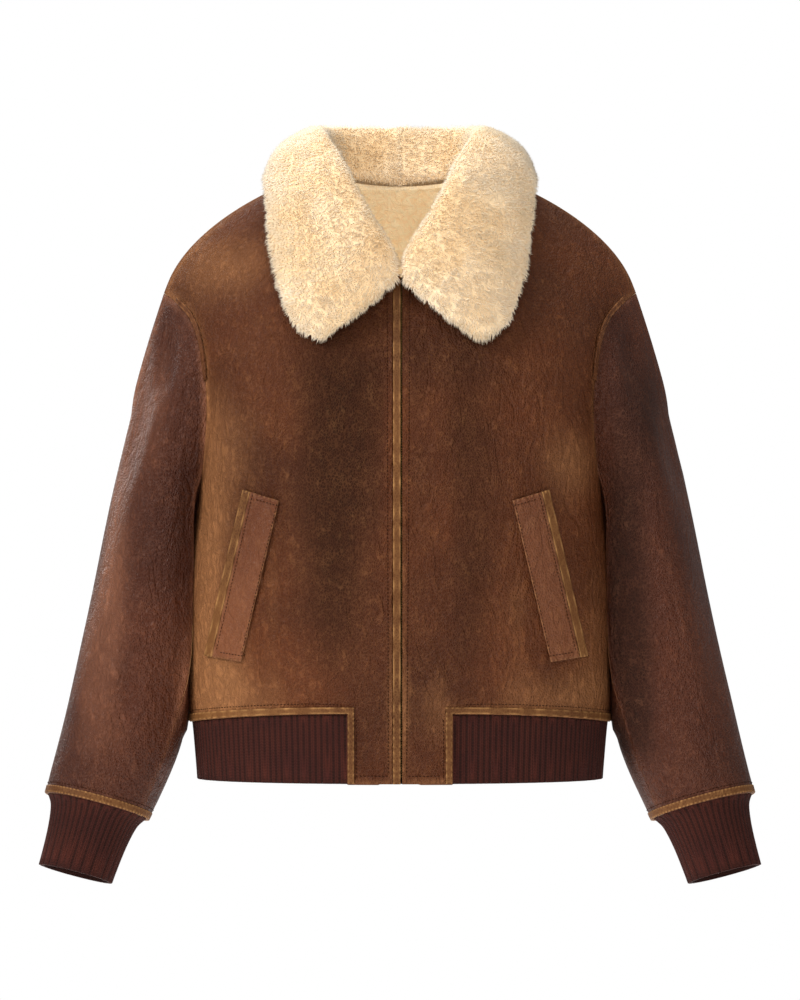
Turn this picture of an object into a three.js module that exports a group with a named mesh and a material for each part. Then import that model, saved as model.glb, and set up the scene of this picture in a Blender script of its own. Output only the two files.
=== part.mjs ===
// Shearling bomber jacket, filled out as if worn: two fronts, a back, two-piece sleeves,
// a folded fur collar, two slanted pocket welts, and a knitted rib at the hem and the cuffs.
// Millimetres, +Z up. The front faces -Y and the wearer's left is +X.
// The origin is the middle of the neck opening at shoulder level, where the wearer carries the jacket.
import * as THREE from 'three';
import { mergeVertices } from 'three/addons/utils/BufferGeometryUtils.js';

// Driving dimensions
const HIDE = 6;                  // leather with its clipped fleece
const SEAM = 0.3;                // gap between pieces that are sewn together
const LIFT = 0.7;                // gap under a piece that lies on a panel
const TRIM = 1.6;                // thickness of the leather trims
const HEM_Z = -573;              // lower edge of the jacket
const RIB_WALL = 4;              // thickness of the knitted rib
const HEM_RIB_PITCH = 6;
const CUFF_RIB_PITCH = 5.4;
const RIB_HEIGHT = 0.9;          // how far a rib stands out from the groove beside it
const FUR = 18;                  // depth of the collar's fur over its skin
const UNDERARM = 0.4;            // row of the panels at the underarm
const FRONT_NECK = 0.7;          // row where the closure meets the neckline
const BACK_NECK = 0.88;          // row where the centre back meets the neckline
const CENTRE_HEM = 51;           // half width of the leather that runs down to the hem at the front
const HEM_TAPE = 6;              // height of the raw leather edge above the rib
const CUFF_TAPE = 7;
const ARMHOLE_TAPE = 5;
const CLOSURE = { right: 7, left: 2.2 };   // where each front begins, beside the closure
const BAND_EDGE = 0.5;           // far edge of the narrow closure band, past the centre

const COLOURS = {
  leather: 0x6e4126,
  sleeve: 0x653c2a,
  trim: 0x9a6a35,
  rib: 0x4a2420,
  fur: 0xe8d3aa,
  zip: 0x2b1a12,
};

// Rows of a front, from the closure to the side seam, and above the underarm to the armhole.
// Each row is a cubic curve: its middle edge, the pull of the chest, the pull of the flank, its side.
const FRONT_MIDDLE = [
  { t: 0, p: [0, -118, -505] },
  { t: 0.16, p: [0, -127, -442] },
  { t: 0.28, p: [0, -134, -378] },
  { t: 0.4, p: [0, -138, -312] },
  { t: 0.52, p: [0, -135, -232] },
  { t: 0.64, p: [0, -115, -130] },
  { t: 0.7, p: [0, -96, -74] },
];
const FRONT_ROWS = [
  { t: 0, chest: [118, -118, -500], flank: [210, -74, -512], side: [210, 0, -516] },
  { t: 0.16, chest: [120, -128, -440], flank: [214, -78, -444], side: [214, 0, -444] },
  { t: 0.28, chest: [122, -136, -376], flank: [214, -82, -379], side: [214, 0, -380] },
  { t: 0.4, chest: [121, -140, -313], flank: [209, -86, -317], side: [208, 0, -318] },
  { t: 0.52, chest: [116, -138, -242], flank: [190, -106, -262], side: [196, -46, -262] },
  { t: 0.64, chest: [102, -126, -156], flank: [176, -108, -192], side: [191, -60, -205] },
  { t: 0.76, chest: [96, -108, -92], flank: [166, -96, -134], side: [195, -56, -152] },
  { t: 0.88, chest: [118, -60, -44], flank: [184, -54, -82], side: [208, -34, -112] },
  { t: 0.95, chest: [136, -22, 2], flank: [208, -24, -48], side: [225, -16, -96] },
  { t: 1, chest: [145, 6, 14], flank: [222, 0, -32], side: [236, 0, -88] },
];
const FRONT_NECKLINE = [[0, -96, -74], [50, -96, -76], [94, -44, 4], [85, 8, 32]];

// Rows of half the back, from the centre back to the side seam or the armhole.
const BACK_MIDDLE = [
  { t: 0, p: [0, 106, -516] },
  { t: 0.16, p: [0, 114, -446] },
  { t: 0.28, p: [0, 119, -382] },
  { t: 0.4, p: [0, 123, -316] },
  { t: 0.52, p: [0, 126, -240] },
  { t: 0.64, p: [0, 121, -160] },
  { t: 0.76, p: [0, 100, -70] },
  { t: 0.88, p: [0, 58, 20] },
];
const BACK_ROWS = [
  { t: 0, chest: [118, 106, -516], flank: [210, 66, -516], side: [210, 0, -516] },
  { t: 0.16, chest: [120, 114, -446], flank: [214, 70, -445], side: [214, 0, -444] },
  { t: 0.28, chest: [122, 119, -382], flank: [214, 74, -380], side: [214, 0, -380] },
  { t: 0.4, chest: [120, 123, -316], flank: [209, 78, -317], side: [208, 0, -318] },
  { t: 0.52, chest: [116, 126, -240], flank: [192, 100, -262], side: [199, 46, -262] },
  { t: 0.64, chest: [108, 121, -160], flank: [181, 104, -198], side: [196, 60, -205] },
  { t: 0.76, chest: [92, 100, -70], flank: [176, 90, -134], side: [200, 52, -150] },
  { t: 0.88, chest: [60, 58, 20], flank: [170, 58, -62], side: [213, 32, -112] },
  { t: 0.95, chest: [116, 38, 19], flank: [202, 32, -42], side: [228, 15, -98] },
  { t: 1, chest: [145, 6, 14], flank: [222, 0, -32], side: [236, 0, -88] },
];
const BACK_NECKLINE = [[0, 58, 20], [40, 58, 20], [78, 42, 30], [85, 8, 32]];

// Small vector helpers
const vec = (p) => new THREE.Vector3(p[0], p[1], p[2]);
const along = (point, direction, distance) => point.clone().addScaledVector(direction, distance);
const mirrored = (point) => new THREE.Vector3(-point.x, point.y, point.z);
const steps = (count) => Array.from({ length: count + 1 }, (_, i) => i / count);

function cubic(p0, p1, p2, p3, s) {
  const r = 1 - s;
  return new THREE.Vector3()
    .addScaledVector(p0, r * r * r)
    .addScaledVector(p1, 3 * r * r * s)
    .addScaledVector(p2, 3 * r * s * s)
    .addScaledVector(p3, s * s * s);
}

// A smooth curve through the rows of a table that never swings past them
function smoothColumn(rows, read, t) {
  const last = rows.length - 1;
  const rise = (i) => (read(rows[i + 1]) - read(rows[i])) / (rows[i + 1].t - rows[i].t);
  const slope = (i) => {
    if (i === 0) return rise(0);
    if (i === last) return rise(last - 1);
    const before = rise(i - 1);
    const after = rise(i);
    return before * after <= 0 ? 0 : (2 * before * after) / (before + after);
  };
  let k = 0;
  while (k < last - 1 && t > rows[k + 1].t) k += 1;
  const span = rows[k + 1].t - rows[k].t;
  const x = (t - rows[k].t) / span;
  const a = read(rows[k]);
  const b = read(rows[k + 1]);
  const bend = slope(k) * span;
  const unbend = slope(k + 1) * span;
  return a + x * (bend + x * (3 * (b - a) - 2 * bend - unbend + x * (2 * (a - b) + bend + unbend)));
}

const tablePoint = (rows, column, t) => vec([0, 1, 2].map((axis) => (
  smoothColumn(rows, (row) => row[column][axis], t))));

// A panel's outer surface. s runs from its middle edge to its side, t from the hem seam to the shoulder.
function panelSurface(middle, rows, neckline, neckRow) {
  return (s, t) => {
    const q = (t - neckRow) / (1 - neckRow);
    const edge = q > 0 ? cubic(...neckline.map(vec), q) : tablePoint(middle, 'p', t);
    const chest = tablePoint(rows, 'chest', t);
    const flank = tablePoint(rows, 'flank', t);
    const side = tablePoint(rows, 'side', t);
    return cubic(edge, chest, flank, side, s);
  };
}
const frontSurface = panelSurface(FRONT_MIDDLE, FRONT_ROWS, FRONT_NECKLINE, FRONT_NECK);
const backSurface = panelSurface(BACK_MIDDLE, BACK_ROWS, BACK_NECKLINE, BACK_NECK);

// Outward normal of a surface, from two short steps that stay inside the panel
function surfaceNormal(surface, s, t, outward) {
  const step = 1e-3;
  const s0 = Math.min(Math.max(s, step), 1 - step);
  const t0 = Math.min(Math.max(t, step), 1 - step);
  const across = surface(s0 + step, t).sub(surface(s0 - step, t));
  const up = surface(s, t0 + step).sub(surface(s, t0 - step));
  return across.cross(up).normalize().multiplyScalar(outward);
}
const frontNormal = (s, t) => surfaceNormal(frontSurface, s, t, 1);
const backNormal = (s, t) => surfaceNormal(backSurface, s, t, -1);

// Both panels turn in along the same line at the shoulder seam
const shoulderNormal = (s) => frontNormal(s, 1).add(backNormal(s, 1)).normalize();

// Below the hem seam the front's leather runs straight down to the hem.
// The lower edge keeps the seam's curve in x and y, and draws in a little.
const CENTRE_DRAW_IN = 5;
const centreHemPoint = (s, drop) => {
  const seam = frontSurface(s, 0);
  return new THREE.Vector3(seam.x, seam.y + CENTRE_DRAW_IN * drop, seam.z + (HEM_Z - seam.z) * drop);
};

// Finds s on the hem seam of a front for a distance x from the centre
function seamColumn(x) {
  let low = 0;
  let high = 1;
  for (let i = 0; i < 40; i += 1) {
    const middle = (low + high) / 2;
    if (frontSurface(middle, 0).x < x) low = middle;
    else high = middle;
  }
  return low;
}

// Finds s and t on a front for a place given by x and z, by turns
function frontPlace(x, z) {
  let s = 0.5;
  let t = 0.2;
  const narrow = (value, target) => {
    let low = 0;
    let high = 1;
    for (let i = 0; i < 30; i += 1) {
      const middle = (low + high) / 2;
      if (value(middle) < target) low = middle;
      else high = middle;
    }
    return low;
  };
  for (let round = 0; round < 12; round += 1) {
    s = narrow((trial) => frontSurface(trial, t).x, x);
    t = narrow((trial) => frontSurface(s, trial).z, z);
  }
  return { s, t };
}

// A closed wall between two grids of points, with rims along every free edge.
// Each patch is { outer, inner }, with rows of points; a missing point leaves a hole.
function wallGeometry(patches) {
  const ids = new Map();
  const outside = [];
  const inside = [];
  const faces = [];
  const edges = new Map();
  const idOf = (outer, inner) => {
    const key = [outer.x, outer.y, outer.z].map((value) => Math.round(value * 1000)).join();
    if (!ids.has(key)) {
      ids.set(key, outside.length);
      outside.push(outer);
      inside.push(inner);
    }
    return ids.get(key);
  };
  for (const { outer, inner } of patches) {
    for (let i = 0; i + 1 < outer.length; i += 1) {
      for (let j = 0; j + 1 < outer[i].length; j += 1) {
        const corners = [[i, j], [i, j + 1], [i + 1, j + 1], [i + 1, j]];
        if (corners.some(([row, column]) => !outer[row][column])) continue;
        const [a, b, c, d] = corners.map(([row, column]) => idOf(outer[row][column], inner[row][column]));
        for (const face of [[a, b, c], [a, c, d]]) {
          if (new Set(face).size < 3) continue;
          faces.push(face);
          face.forEach((id, k) => edges.set(`${id},${face[(k + 1) % 3]}`, [id, face[(k + 1) % 3]]));
        }
      }
    }
  }
  const positions = [];
  const put = (...points) => points.forEach((point) => positions.push(point.x, point.y, point.z));
  for (const [a, b, c] of faces) {
    put(outside[a], outside[b], outside[c]);
    put(inside[a], inside[c], inside[b]);
  }
  for (const [p, q] of edges.values()) {
    if (edges.has(`${q},${p}`)) continue;
    put(outside[q], outside[p], inside[p]);
    put(outside[q], inside[p], inside[q]);
  }
  return closedGeometry(positions);
}

// Merges the corners and turns the faces outward
function closedGeometry(positions) {
  const loose = new THREE.BufferGeometry();
  loose.setAttribute('position', new THREE.Float32BufferAttribute(positions, 3));
  const geometry = mergeVertices(loose, 1e-3);
  const at = geometry.attributes.position;
  const index = geometry.index.array;
  const [a, b, c] = [new THREE.Vector3(), new THREE.Vector3(), new THREE.Vector3()];
  let volume = 0;
  for (let i = 0; i < index.length; i += 3) {
    a.fromBufferAttribute(at, index[i]);
    b.fromBufferAttribute(at, index[i + 1]);
    c.fromBufferAttribute(at, index[i + 2]);
    volume += a.dot(b.cross(c));
  }
  if (volume < 0) {
    for (let i = 0; i < index.length; i += 3) [index[i], index[i + 1]] = [index[i + 1], index[i]];
  }
  geometry.computeVertexNormals();
  return geometry;
}

const mirrorGrid = (grid) => grid.map((row) => row.map((p) => p && mirrored(p)).reverse());
const mirrorPatch = ({ outer, inner }) => ({ outer: mirrorGrid(outer), inner: mirrorGrid(inner) });

const jacket = new THREE.Group();
function addPiece(name, geometry, colour, roughness) {
  const material = new THREE.MeshStandardMaterial({ color: colour, roughness, metalness: 0 });
  const mesh = new THREE.Mesh(geometry, material);
  mesh.name = name;
  jacket.add(mesh);
}
const LEATHER_ROUGH = 0.55;
const TRIM_ROUGH = 0.6;
const SOFT_ROUGH = 0.95;

// Grid of a panel: rows below the underarm, rows up the armhole, and columns across
const LOWER_ROWS = steps(5).map((f) => f * UNDERARM);
const ARMHOLE_STEPS = 10;
const UPPER_ROWS = steps(ARMHOLE_STEPS).map((f) => UNDERARM + f * (1 - UNDERARM));
const PANEL_ROWS = [...LOWER_ROWS, ...UPPER_ROWS.slice(1)];
const CENTRE_DROPS = [1, 0.66, 0.33];
const HEM_COLUMN = seamColumn(CENTRE_HEM);
const TAPE_COLUMN = seamColumn(CENTRE_HEM - HEM_TAPE);
const FRONT_COLUMNS = [0, TAPE_COLUMN / 2, TAPE_COLUMN, HEM_COLUMN,
  ...steps(8).slice(1).map((f) => HEM_COLUMN + f * (1 - HEM_COLUMN))];
const BACK_COLUMNS = steps(10);

// Seam clearance: the side seams part at the side, the shoulder seams part at the top
const PART = SEAM / 2;
const SHOULDER_PART = 0.4;

// The closure edge of a front is cut back from the centre line, and the cut dies out up the neckline
const cutBack = (point, closure) => {
  if (point.x < closure) point.setX(closure);
  return point;
};

const levelled = (normal) => normal.setZ(0).normalize();
function frontWallNormal(s, t) {
  if (t === 0) return levelled(frontNormal(s, 0));
  return t === 1 ? shoulderNormal(s) : frontNormal(s, t);
}
function backWallNormal(s, t) {
  if (t === 1) return shoulderNormal(s);
  const normal = t === 0 ? levelled(backNormal(s, 0)) : backNormal(s, t);
  return s === 0 && t <= BACK_NECK ? normal.setX(0).normalize() : normal;
}

function frontPatch(closure) {
  const outer = [];
  const inner = [];
  const place = (point, normal) => {
    const back = along(point, normal, -HIDE);
    return [cutBack(point, closure), cutBack(back, closure)];
  };
  for (const drop of CENTRE_DROPS) {
    const rows = [[], []];
    for (const s of FRONT_COLUMNS) {
      const pair = s > HEM_COLUMN
        ? [null, null]
        : place(centreHemPoint(s, drop), frontWallNormal(s, 0));
      rows[0].push(pair[0]);
      rows[1].push(pair[1]);
    }
    outer.push(rows[0]);
    inner.push(rows[1]);
  }
  for (const t of PANEL_ROWS) {
    const rows = [[], []];
    for (const s of FRONT_COLUMNS) {
      const seamward = new THREE.Vector3(0, -PART * Math.min(1, s * s), 0);
      const parting = t === 1 ? new THREE.Vector3(0, -SHOULDER_PART, 0) : seamward;
      const pair = place(frontSurface(s, t).add(parting), frontWallNormal(s, t));
      rows[0].push(pair[0]);
      rows[1].push(pair[1]);
    }
    outer.push(rows[0]);
    inner.push(rows[1]);
  }
  return { outer, inner };
}

const frontLeft = frontPatch(CLOSURE.left);
const frontRight = frontPatch(CLOSURE.right);
addPiece('front_left', wallGeometry([frontLeft]), COLOURS.leather, LEATHER_ROUGH);
addPiece('front_right', wallGeometry([mirrorPatch(frontRight)]), COLOURS.leather, LEATHER_ROUGH);

function backPatch() {
  const outer = [];
  const inner = [];
  for (const t of PANEL_ROWS) {
    const points = BACK_COLUMNS.map((s) => {
      const parting = t === 1 ? SHOULDER_PART : PART * s * s;
      return backSurface(s, t).add(new THREE.Vector3(0, parting, 0));
    });
    const normals = BACK_COLUMNS.map((s) => backWallNormal(s, t));
    outer.push(points);
    inner.push(points.map((point, k) => along(point, normals[k], -HIDE)));
  }
  return { outer: outer.map((row) => row.reverse()), inner: inner.map((row) => row.reverse()) };
}
const backHalf = backPatch();
addPiece('back', wallGeometry([backHalf, mirrorPatch(backHalf)]), COLOURS.leather, LEATHER_ROUGH);

// Sleeve
// The ring starts at the underarm and goes up the front to the shoulder tip and down the back.
// Each lengthwise line is a cubic curve from the armhole to the cuff seam.
const RING = 2 * ARMHOLE_STEPS;
const SLEEVE_SECTIONS = 12;
const UNDER_SEAM = 2;            // ring steps from the underarm to each seam of the under sleeve
const CUFF_SEAM_CENTRE = vec([302, -15, -600]);
const CUFF_SEAM_AXIS = vec([0.25, -0.16, -0.955]).normalize();
const CUFF_SEAM_HALF_WIDTH = 54;
const CUFF_SEAM_HALF_DEPTH = 50;
const FOREARM_PULL = 200;
const FOREARM_FULLNESS = 1.5;    // how much deeper the forearm is than the cuff seam
const FOREARM_SPREAD = 24;       // how much its half width grows, all of it towards the body
const ARMHOLE_LEADS = {          // first direction and pull of the sleeve at four places on the ring
  under: { direction: vec([0.3, 0, -0.95]), pull: 60 },
  front: { direction: vec([0.75, -0.14, -0.65]), pull: 95 },
  tip: { direction: vec([0.33, 0, -0.94]), pull: 170 },
  back: { direction: vec([0.75, 0.16, -0.65]), pull: 95 },
};
const BODY_CLEARANCE = 2;        // between a sleeve and the body beside it
const SLEEVE_PART = 0.45;        // each panel of the sleeve stays this far from the seam between them

const ringAngle = (k) => Math.PI - (k * 2 * Math.PI) / RING;
const acrossCuff = new THREE.Vector3(-CUFF_SEAM_AXIS.z, 0, CUFF_SEAM_AXIS.x).normalize();
const throughCuff = new THREE.Vector3().crossVectors(CUFF_SEAM_AXIS, acrossCuff).normalize();
if (throughCuff.y > 0) throughCuff.negate();

function ellipsePoint(centre, halfWidth, halfDepth, angle) {
  return along(along(centre, acrossCuff, halfWidth * Math.cos(angle)),
    throughCuff, halfDepth * Math.sin(angle));
}

// Half width of the body at a depth y and a height z below the underarm
function bodyHalfWidth(y, z) {
  const surface = y < 0 ? frontSurface : backSurface;
  let low = 0;
  let high = UNDERARM;
  for (let i = 0; i < 24; i += 1) {
    const middle = (low + high) / 2;
    if (surface(1, middle).z < z) low = middle;
    else high = middle;
  }
  const t = low;
  low = 0;
  high = 1;
  for (let i = 0; i < 24; i += 1) {
    const middle = (low + high) / 2;
    if (Math.abs(surface(middle, t).y) > Math.abs(y)) low = middle;
    else high = middle;
  }
  return Math.abs(surface(0, t).y) < Math.abs(y) ? 0 : surface(low, t).x;
}

const UNDERARM_Z = frontSurface(1, UNDERARM).z;
const OPENING_STEP = 12;         // height over which the clearance to the body fades in
function clearOfBody(point) {
  const below = UNDERARM_Z + OPENING_STEP - point.z;
  if (below <= 0) return point;
  const fade = Math.min(1, below / OPENING_STEP);
  const limit = bodyHalfWidth(point.y, Math.min(point.z, UNDERARM_Z)) + BODY_CLEARANCE;
  if (point.x < limit) point.setX(point.x + (limit - point.x) * fade);
  return point;
}

function armholePoint(k) {
  const onFront = k <= ARMHOLE_STEPS;
  const t = UPPER_ROWS[onFront ? k : RING - k];
  const point = onFront ? frontSurface(1, t) : backSurface(1, t);
  const normal = onFront ? frontWallNormal(1, t) : backWallNormal(1, t);
  return { point, normal };
}

function sleeveGrid() {
  const holes = steps(RING).map((_, k) => armholePoint(k % RING));
  const lines = [];
  for (let k = 0; k < RING; k += 1) {
    const before = holes[(k + RING - 1) % RING].point;
    const after = holes[(k + 1) % RING].point;
    const away = after.clone().sub(before).cross(holes[k].normal).normalize();
    const start = along(holes[k].point, away, SEAM + 0.1);
    const angle = ringAngle(k);
    const end = k <= ARMHOLE_STEPS ? (k === 0 ? ARMHOLE_LEADS.under : ARMHOLE_LEADS.tip) : ARMHOLE_LEADS.tip;
    const middle = k <= ARMHOLE_STEPS ? ARMHOLE_LEADS.front : ARMHOLE_LEADS.back;
    const base = Math.cos(angle) < 0 ? ARMHOLE_LEADS.under : end;
    const share = Math.sin(angle) ** 2;
    const direction = base.direction.clone().lerp(middle.direction, share).normalize();
    const pull = base.pull + (middle.pull - base.pull) * share;
    const cuff = ellipsePoint(CUFF_SEAM_CENTRE, CUFF_SEAM_HALF_WIDTH, CUFF_SEAM_HALF_DEPTH, angle);
    const full = ellipsePoint(along(CUFF_SEAM_CENTRE, acrossCuff, -FOREARM_SPREAD),
      CUFF_SEAM_HALF_WIDTH + FOREARM_SPREAD, CUFF_SEAM_HALF_DEPTH * FOREARM_FULLNESS, angle);
    const lead = along(start, direction, pull);
    const forearm = along(full, CUFF_SEAM_AXIS, -FOREARM_PULL);
    lines.push(steps(SLEEVE_SECTIONS).map((f) => clearOfBody(cubic(start, lead, forearm, cuff, f))));
  }
  return steps(SLEEVE_SECTIONS).map((_, i) => lines.map((line) => line[i]));
}
const SLEEVE = sleeveGrid();

// Inner points of a ring of sections, from the directions between neighbouring points
function insideOfTube(sections, depth) {
  const last = sections.length - 1;
  return sections.map((section, i) => section.map((point, k) => {
    const around = section[(k + 1) % section.length].clone()
      .sub(section[(k + section.length - 1) % section.length]);
    const down = sections[Math.min(i + 1, last)][k].clone().sub(sections[Math.max(i - 1, 0)][k]);
    return along(point, around.cross(down).normalize(), depth);
  }));
}
const SLEEVE_INSIDE = insideOfTube(SLEEVE, HIDE);

// A lengthwise panel of the sleeve, from one ring place to another, parted from its neighbour
function sleevePatch(from, to) {
  const columns = Array.from({ length: to - from + 1 }, (_, n) => from + n);
  const pick = (grid) => grid.map((section) => columns.map((k, n) => {
    const point = section[(k + RING) % RING].clone();
    const step = n === 0 ? 1 : -1;
    if (n > 0 && n < columns.length - 1) return point;
    const inward = section[(k + step + RING) % RING].clone().sub(point).normalize();
    return along(point, inward, SLEEVE_PART);
  }));
  return { outer: pick(SLEEVE), inner: pick(SLEEVE_INSIDE) };
}
const sleeveUpper = sleevePatch(UNDER_SEAM, RING - UNDER_SEAM);
const sleeveUnder = sleevePatch(-UNDER_SEAM, UNDER_SEAM);
addPiece('sleeve_upper_left', wallGeometry([sleeveUpper]), COLOURS.sleeve, LEATHER_ROUGH);
addPiece('sleeve_under_left', wallGeometry([sleeveUnder]), COLOURS.sleeve, LEATHER_ROUGH);
addPiece('sleeve_upper_right', wallGeometry([mirrorPatch(sleeveUpper)]), COLOURS.sleeve, LEATHER_ROUGH);
addPiece('sleeve_under_right', wallGeometry([mirrorPatch(sleeveUnder)]), COLOURS.sleeve, LEATHER_ROUGH);

// Triangles between two lines of points with even steps, each line with its own count
function bridge(edge, inside, flip) {
  const triangles = [];
  let i = 0;
  let j = 0;
  while (i < edge.length - 1 || j < inside.length - 1) {
    const edgeNext = (i + 1) / (edge.length - 1);
    const insideNext = (j + 1) / (inside.length - 1);
    const onEdge = j === inside.length - 1 || (i < edge.length - 1 && edgeNext <= insideNext);
    const [a, b, c] = onEdge ? [edge[i + 1], edge[i], inside[j]] : [edge[i], inside[j], inside[j + 1]];
    triangles.push(...(flip ? [b, a, c] : [a, b, c]));
    if (onEdge) i += 1;
    else j += 1;
  }
  return triangles;
}

// Knitted ribs
// The outer points stand out and in by turns, over a plain inside with fewer columns.
function ribbedGeometry(at, ribs, insideColumns, levels, closed) {
  const crest = RIB_HEIGHT / 2;
  const outerU = steps(2 * ribs);
  const innerU = steps(insideColumns);
  const wrap = (u) => (closed && u === 1 ? 0 : u);
  const outer = levels.map((h) => outerU.map((u, j) => at(wrap(u), h, j % 2 ? -crest : crest)));
  const inner = levels.map((h) => innerU.map((u) => at(wrap(u), h, -RIB_WALL)));
  const positions = [];
  const put = (...points) => points.forEach((point) => positions.push(point.x, point.y, point.z));
  const quads = (grid, flip) => {
    for (let i = 0; i + 1 < grid.length; i += 1) {
      for (let j = 0; j + 1 < grid[i].length; j += 1) {
        const [a, b, c, d] = [grid[i][j], grid[i][j + 1], grid[i + 1][j + 1], grid[i + 1][j]];
        if (flip) put(a, c, b, a, d, c);
        else put(a, b, c, a, c, d);
      }
    }
  };
  quads(outer, false);
  quads(inner, true);
  const last = levels.length - 1;
  put(...bridge(outer[0], inner[0], false));
  put(...bridge(outer[last], inner[last], true));
  if (!closed) {
    for (let i = 0; i < last; i += 1) {
      const [a, d, e, f] = [outer[i][0], outer[i + 1][0], inner[i][0], inner[i + 1][0]];
      put(a, d, f, a, f, e);
      const [b, c, g, h] = [outer, outer, inner, inner].map((grid, n) => grid[i + (n % 2)].at(-1));
      put(c, b, g, c, g, h);
    }
  }
  return closedGeometry(positions);
}

// Cuffs: a table of stations from the cuff seam to the end
const CUFF_END_CENTRE = vec([323, -24, -667]);
const CUFF_STATIONS = [
  { t: 0, halfWidth: 50.5, halfDepth: 47 },
  { t: 0.16, halfWidth: 43.5, halfDepth: 41 },
  { t: 0.5, halfWidth: 39.5, halfDepth: 38 },
  { t: 1, halfWidth: 37.5, halfDepth: 36 },
];
const CUFF_LEVELS = [0, 0.08, 0.16, 0.5, 1];
const CUFF_INSIDE_COLUMNS = 20;
const cuffTop = along(CUFF_SEAM_CENTRE, CUFF_SEAM_AXIS, SEAM + 0.1);
const cuffPoint = (u, h, offset) => {
  const centre = cuffTop.clone().lerp(CUFF_END_CENTRE, h);
  const halfWidth = smoothColumn(CUFF_STATIONS, (row) => row.halfWidth, h) + offset;
  const halfDepth = smoothColumn(CUFF_STATIONS, (row) => row.halfDepth, h) + offset;
  return ellipsePoint(centre, halfWidth, halfDepth, Math.PI - 2 * Math.PI * u);
};
const CUFF_RIBS = Math.round((2 * Math.PI * CUFF_STATIONS[2].halfWidth) / CUFF_RIB_PITCH);
for (const [side, reflect] of [['left', (p) => p], ['right', mirrored]]) {
  const at = (u, h, offset) => reflect(cuffPoint(u, h, offset));
  const geometry = ribbedGeometry(at, CUFF_RIBS, CUFF_INSIDE_COLUMNS, CUFF_LEVELS, true);
  addPiece(`cuff_${side}`, geometry, COLOURS.rib, SOFT_ROUGH);
}

// Hem rib: from the leather at the middle of one front, round the back, to that of the other
const HEM_RIB_INSET = 2.5;       // how far the rib lies inside the leather at its seam
const HEM_RIB_DRAW_IN = 5;       // further draw-in at the hem
const HEM_INSIDE_COLUMNS = 44;
const HEM_LEVELS = [0, 0.12, 0.5, 1];
const HEM_SAMPLES = 24;
// Height of a front's lower edge between two of its columns, where the panel runs straight
function frontEdgeHeight(s) {
  let k = 0;
  while (k < FRONT_COLUMNS.length - 2 && FRONT_COLUMNS[k + 1] < s) k += 1;
  const [from, to] = [FRONT_COLUMNS[k], FRONT_COLUMNS[k + 1]];
  const [low, high] = [frontSurface(from, 0).z, frontSurface(to, 0).z];
  return low + ((high - low) * (s - from)) / (to - from);
}
function hemPath() {
  const half = [];
  for (const f of steps(HEM_SAMPLES)) {
    const s = HEM_COLUMN + f * (1 - HEM_COLUMN);
    half.push(frontSurface(s, 0).setZ(frontEdgeHeight(s)));
  }
  for (const f of steps(HEM_SAMPLES).slice(1)) half.push(backSurface(1 - f, 0));
  half[0].setX(half[0].x + SEAM);
  return [...half, ...half.slice(0, -1).reverse().map(mirrored)];
}
const HEM_PATH = hemPath();
const HEM_LENGTHS = HEM_PATH.reduce((sums, point, i) => {
  const step = i === 0 ? 0 : Math.hypot(point.x - HEM_PATH[i - 1].x, point.y - HEM_PATH[i - 1].y);
  return [...sums, (sums.at(-1) ?? 0) + step];
}, []);
const HEM_LENGTH = HEM_LENGTHS.at(-1);
const hemPoint = (u, h, offset) => {
  const target = u * HEM_LENGTH;
  let k = 0;
  while (k < HEM_PATH.length - 2 && HEM_LENGTHS[k + 1] < target) k += 1;
  const share = (target - HEM_LENGTHS[k]) / (HEM_LENGTHS[k + 1] - HEM_LENGTHS[k]);
  const point = HEM_PATH[k].clone().lerp(HEM_PATH[k + 1], share);
  const before = HEM_PATH[Math.max(k - 1, 0)].clone().lerp(HEM_PATH[k], share);
  const after = HEM_PATH[k + 1].clone().lerp(HEM_PATH[Math.min(k + 2, HEM_PATH.length - 1)], share);
  const ahead = after.sub(before).setZ(0).normalize();
  const outward = new THREE.Vector3(ahead.y, -ahead.x, 0);
  const top = point.z - SEAM - 0.1;
  point.setZ(top + (HEM_Z - top) * h);
  const placed = along(point, outward, offset - HEM_RIB_INSET - HEM_RIB_DRAW_IN * h);
  const end = CENTRE_HEM + SEAM;
  if (placed.y < 0 && Math.abs(placed.x) < end) placed.setX(Math.sign(placed.x) * end);
  return placed;
};
const HEM_RIBS = Math.round(HEM_LENGTH / HEM_RIB_PITCH);
addPiece('hem_rib', ribbedGeometry(hemPoint, HEM_RIBS, HEM_INSIDE_COLUMNS, HEM_LEVELS, false),
  COLOURS.rib, SOFT_ROUGH);

// Front closure: a zip lies behind both fronts, and a narrow band edges the wearer's right front.
const ZIP_WALL = 2;
const ZIP_REACH = { from: -16, to: 12 };
const closureRow = (t, drop) => {
  const point = drop > 0 ? centreHemPoint(0, drop) : frontSurface(0, t);
  const normal = drop > 0 || t === 0 ? new THREE.Vector3(0, -1, 0) : frontNormal(0, t).setX(0).normalize();
  return { point, normal };
};
const CLOSURE_ROWS = [
  ...CENTRE_DROPS.map((drop) => closureRow(0, drop)),
  ...PANEL_ROWS.filter((t) => t <= FRONT_NECK).map((t) => closureRow(t, 0)),
];
function closureStrip(from, to, outerOffset, innerOffset) {
  const grid = (offset) => CLOSURE_ROWS.map(({ point, normal }) => (
    [from, to].map((x) => along(point, normal, offset).setX(x))));
  return { outer: grid(outerOffset), inner: grid(innerOffset) };
}
const BAND_RISE = 0.8;           // the band stands a little proud of the front beside it
const zipStrip = closureStrip(ZIP_REACH.from, ZIP_REACH.to, -HIDE - LIFT, -HIDE - LIFT - ZIP_WALL);
const frontBand = closureStrip(SEAM - CLOSURE.right, BAND_EDGE, BAND_RISE, -HIDE);
addPiece('front_zip', wallGeometry([zipStrip]), COLOURS.zip, TRIM_ROUGH);
addPiece('front_band', wallGeometry([frontBand]), COLOURS.trim, TRIM_ROUGH);

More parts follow.
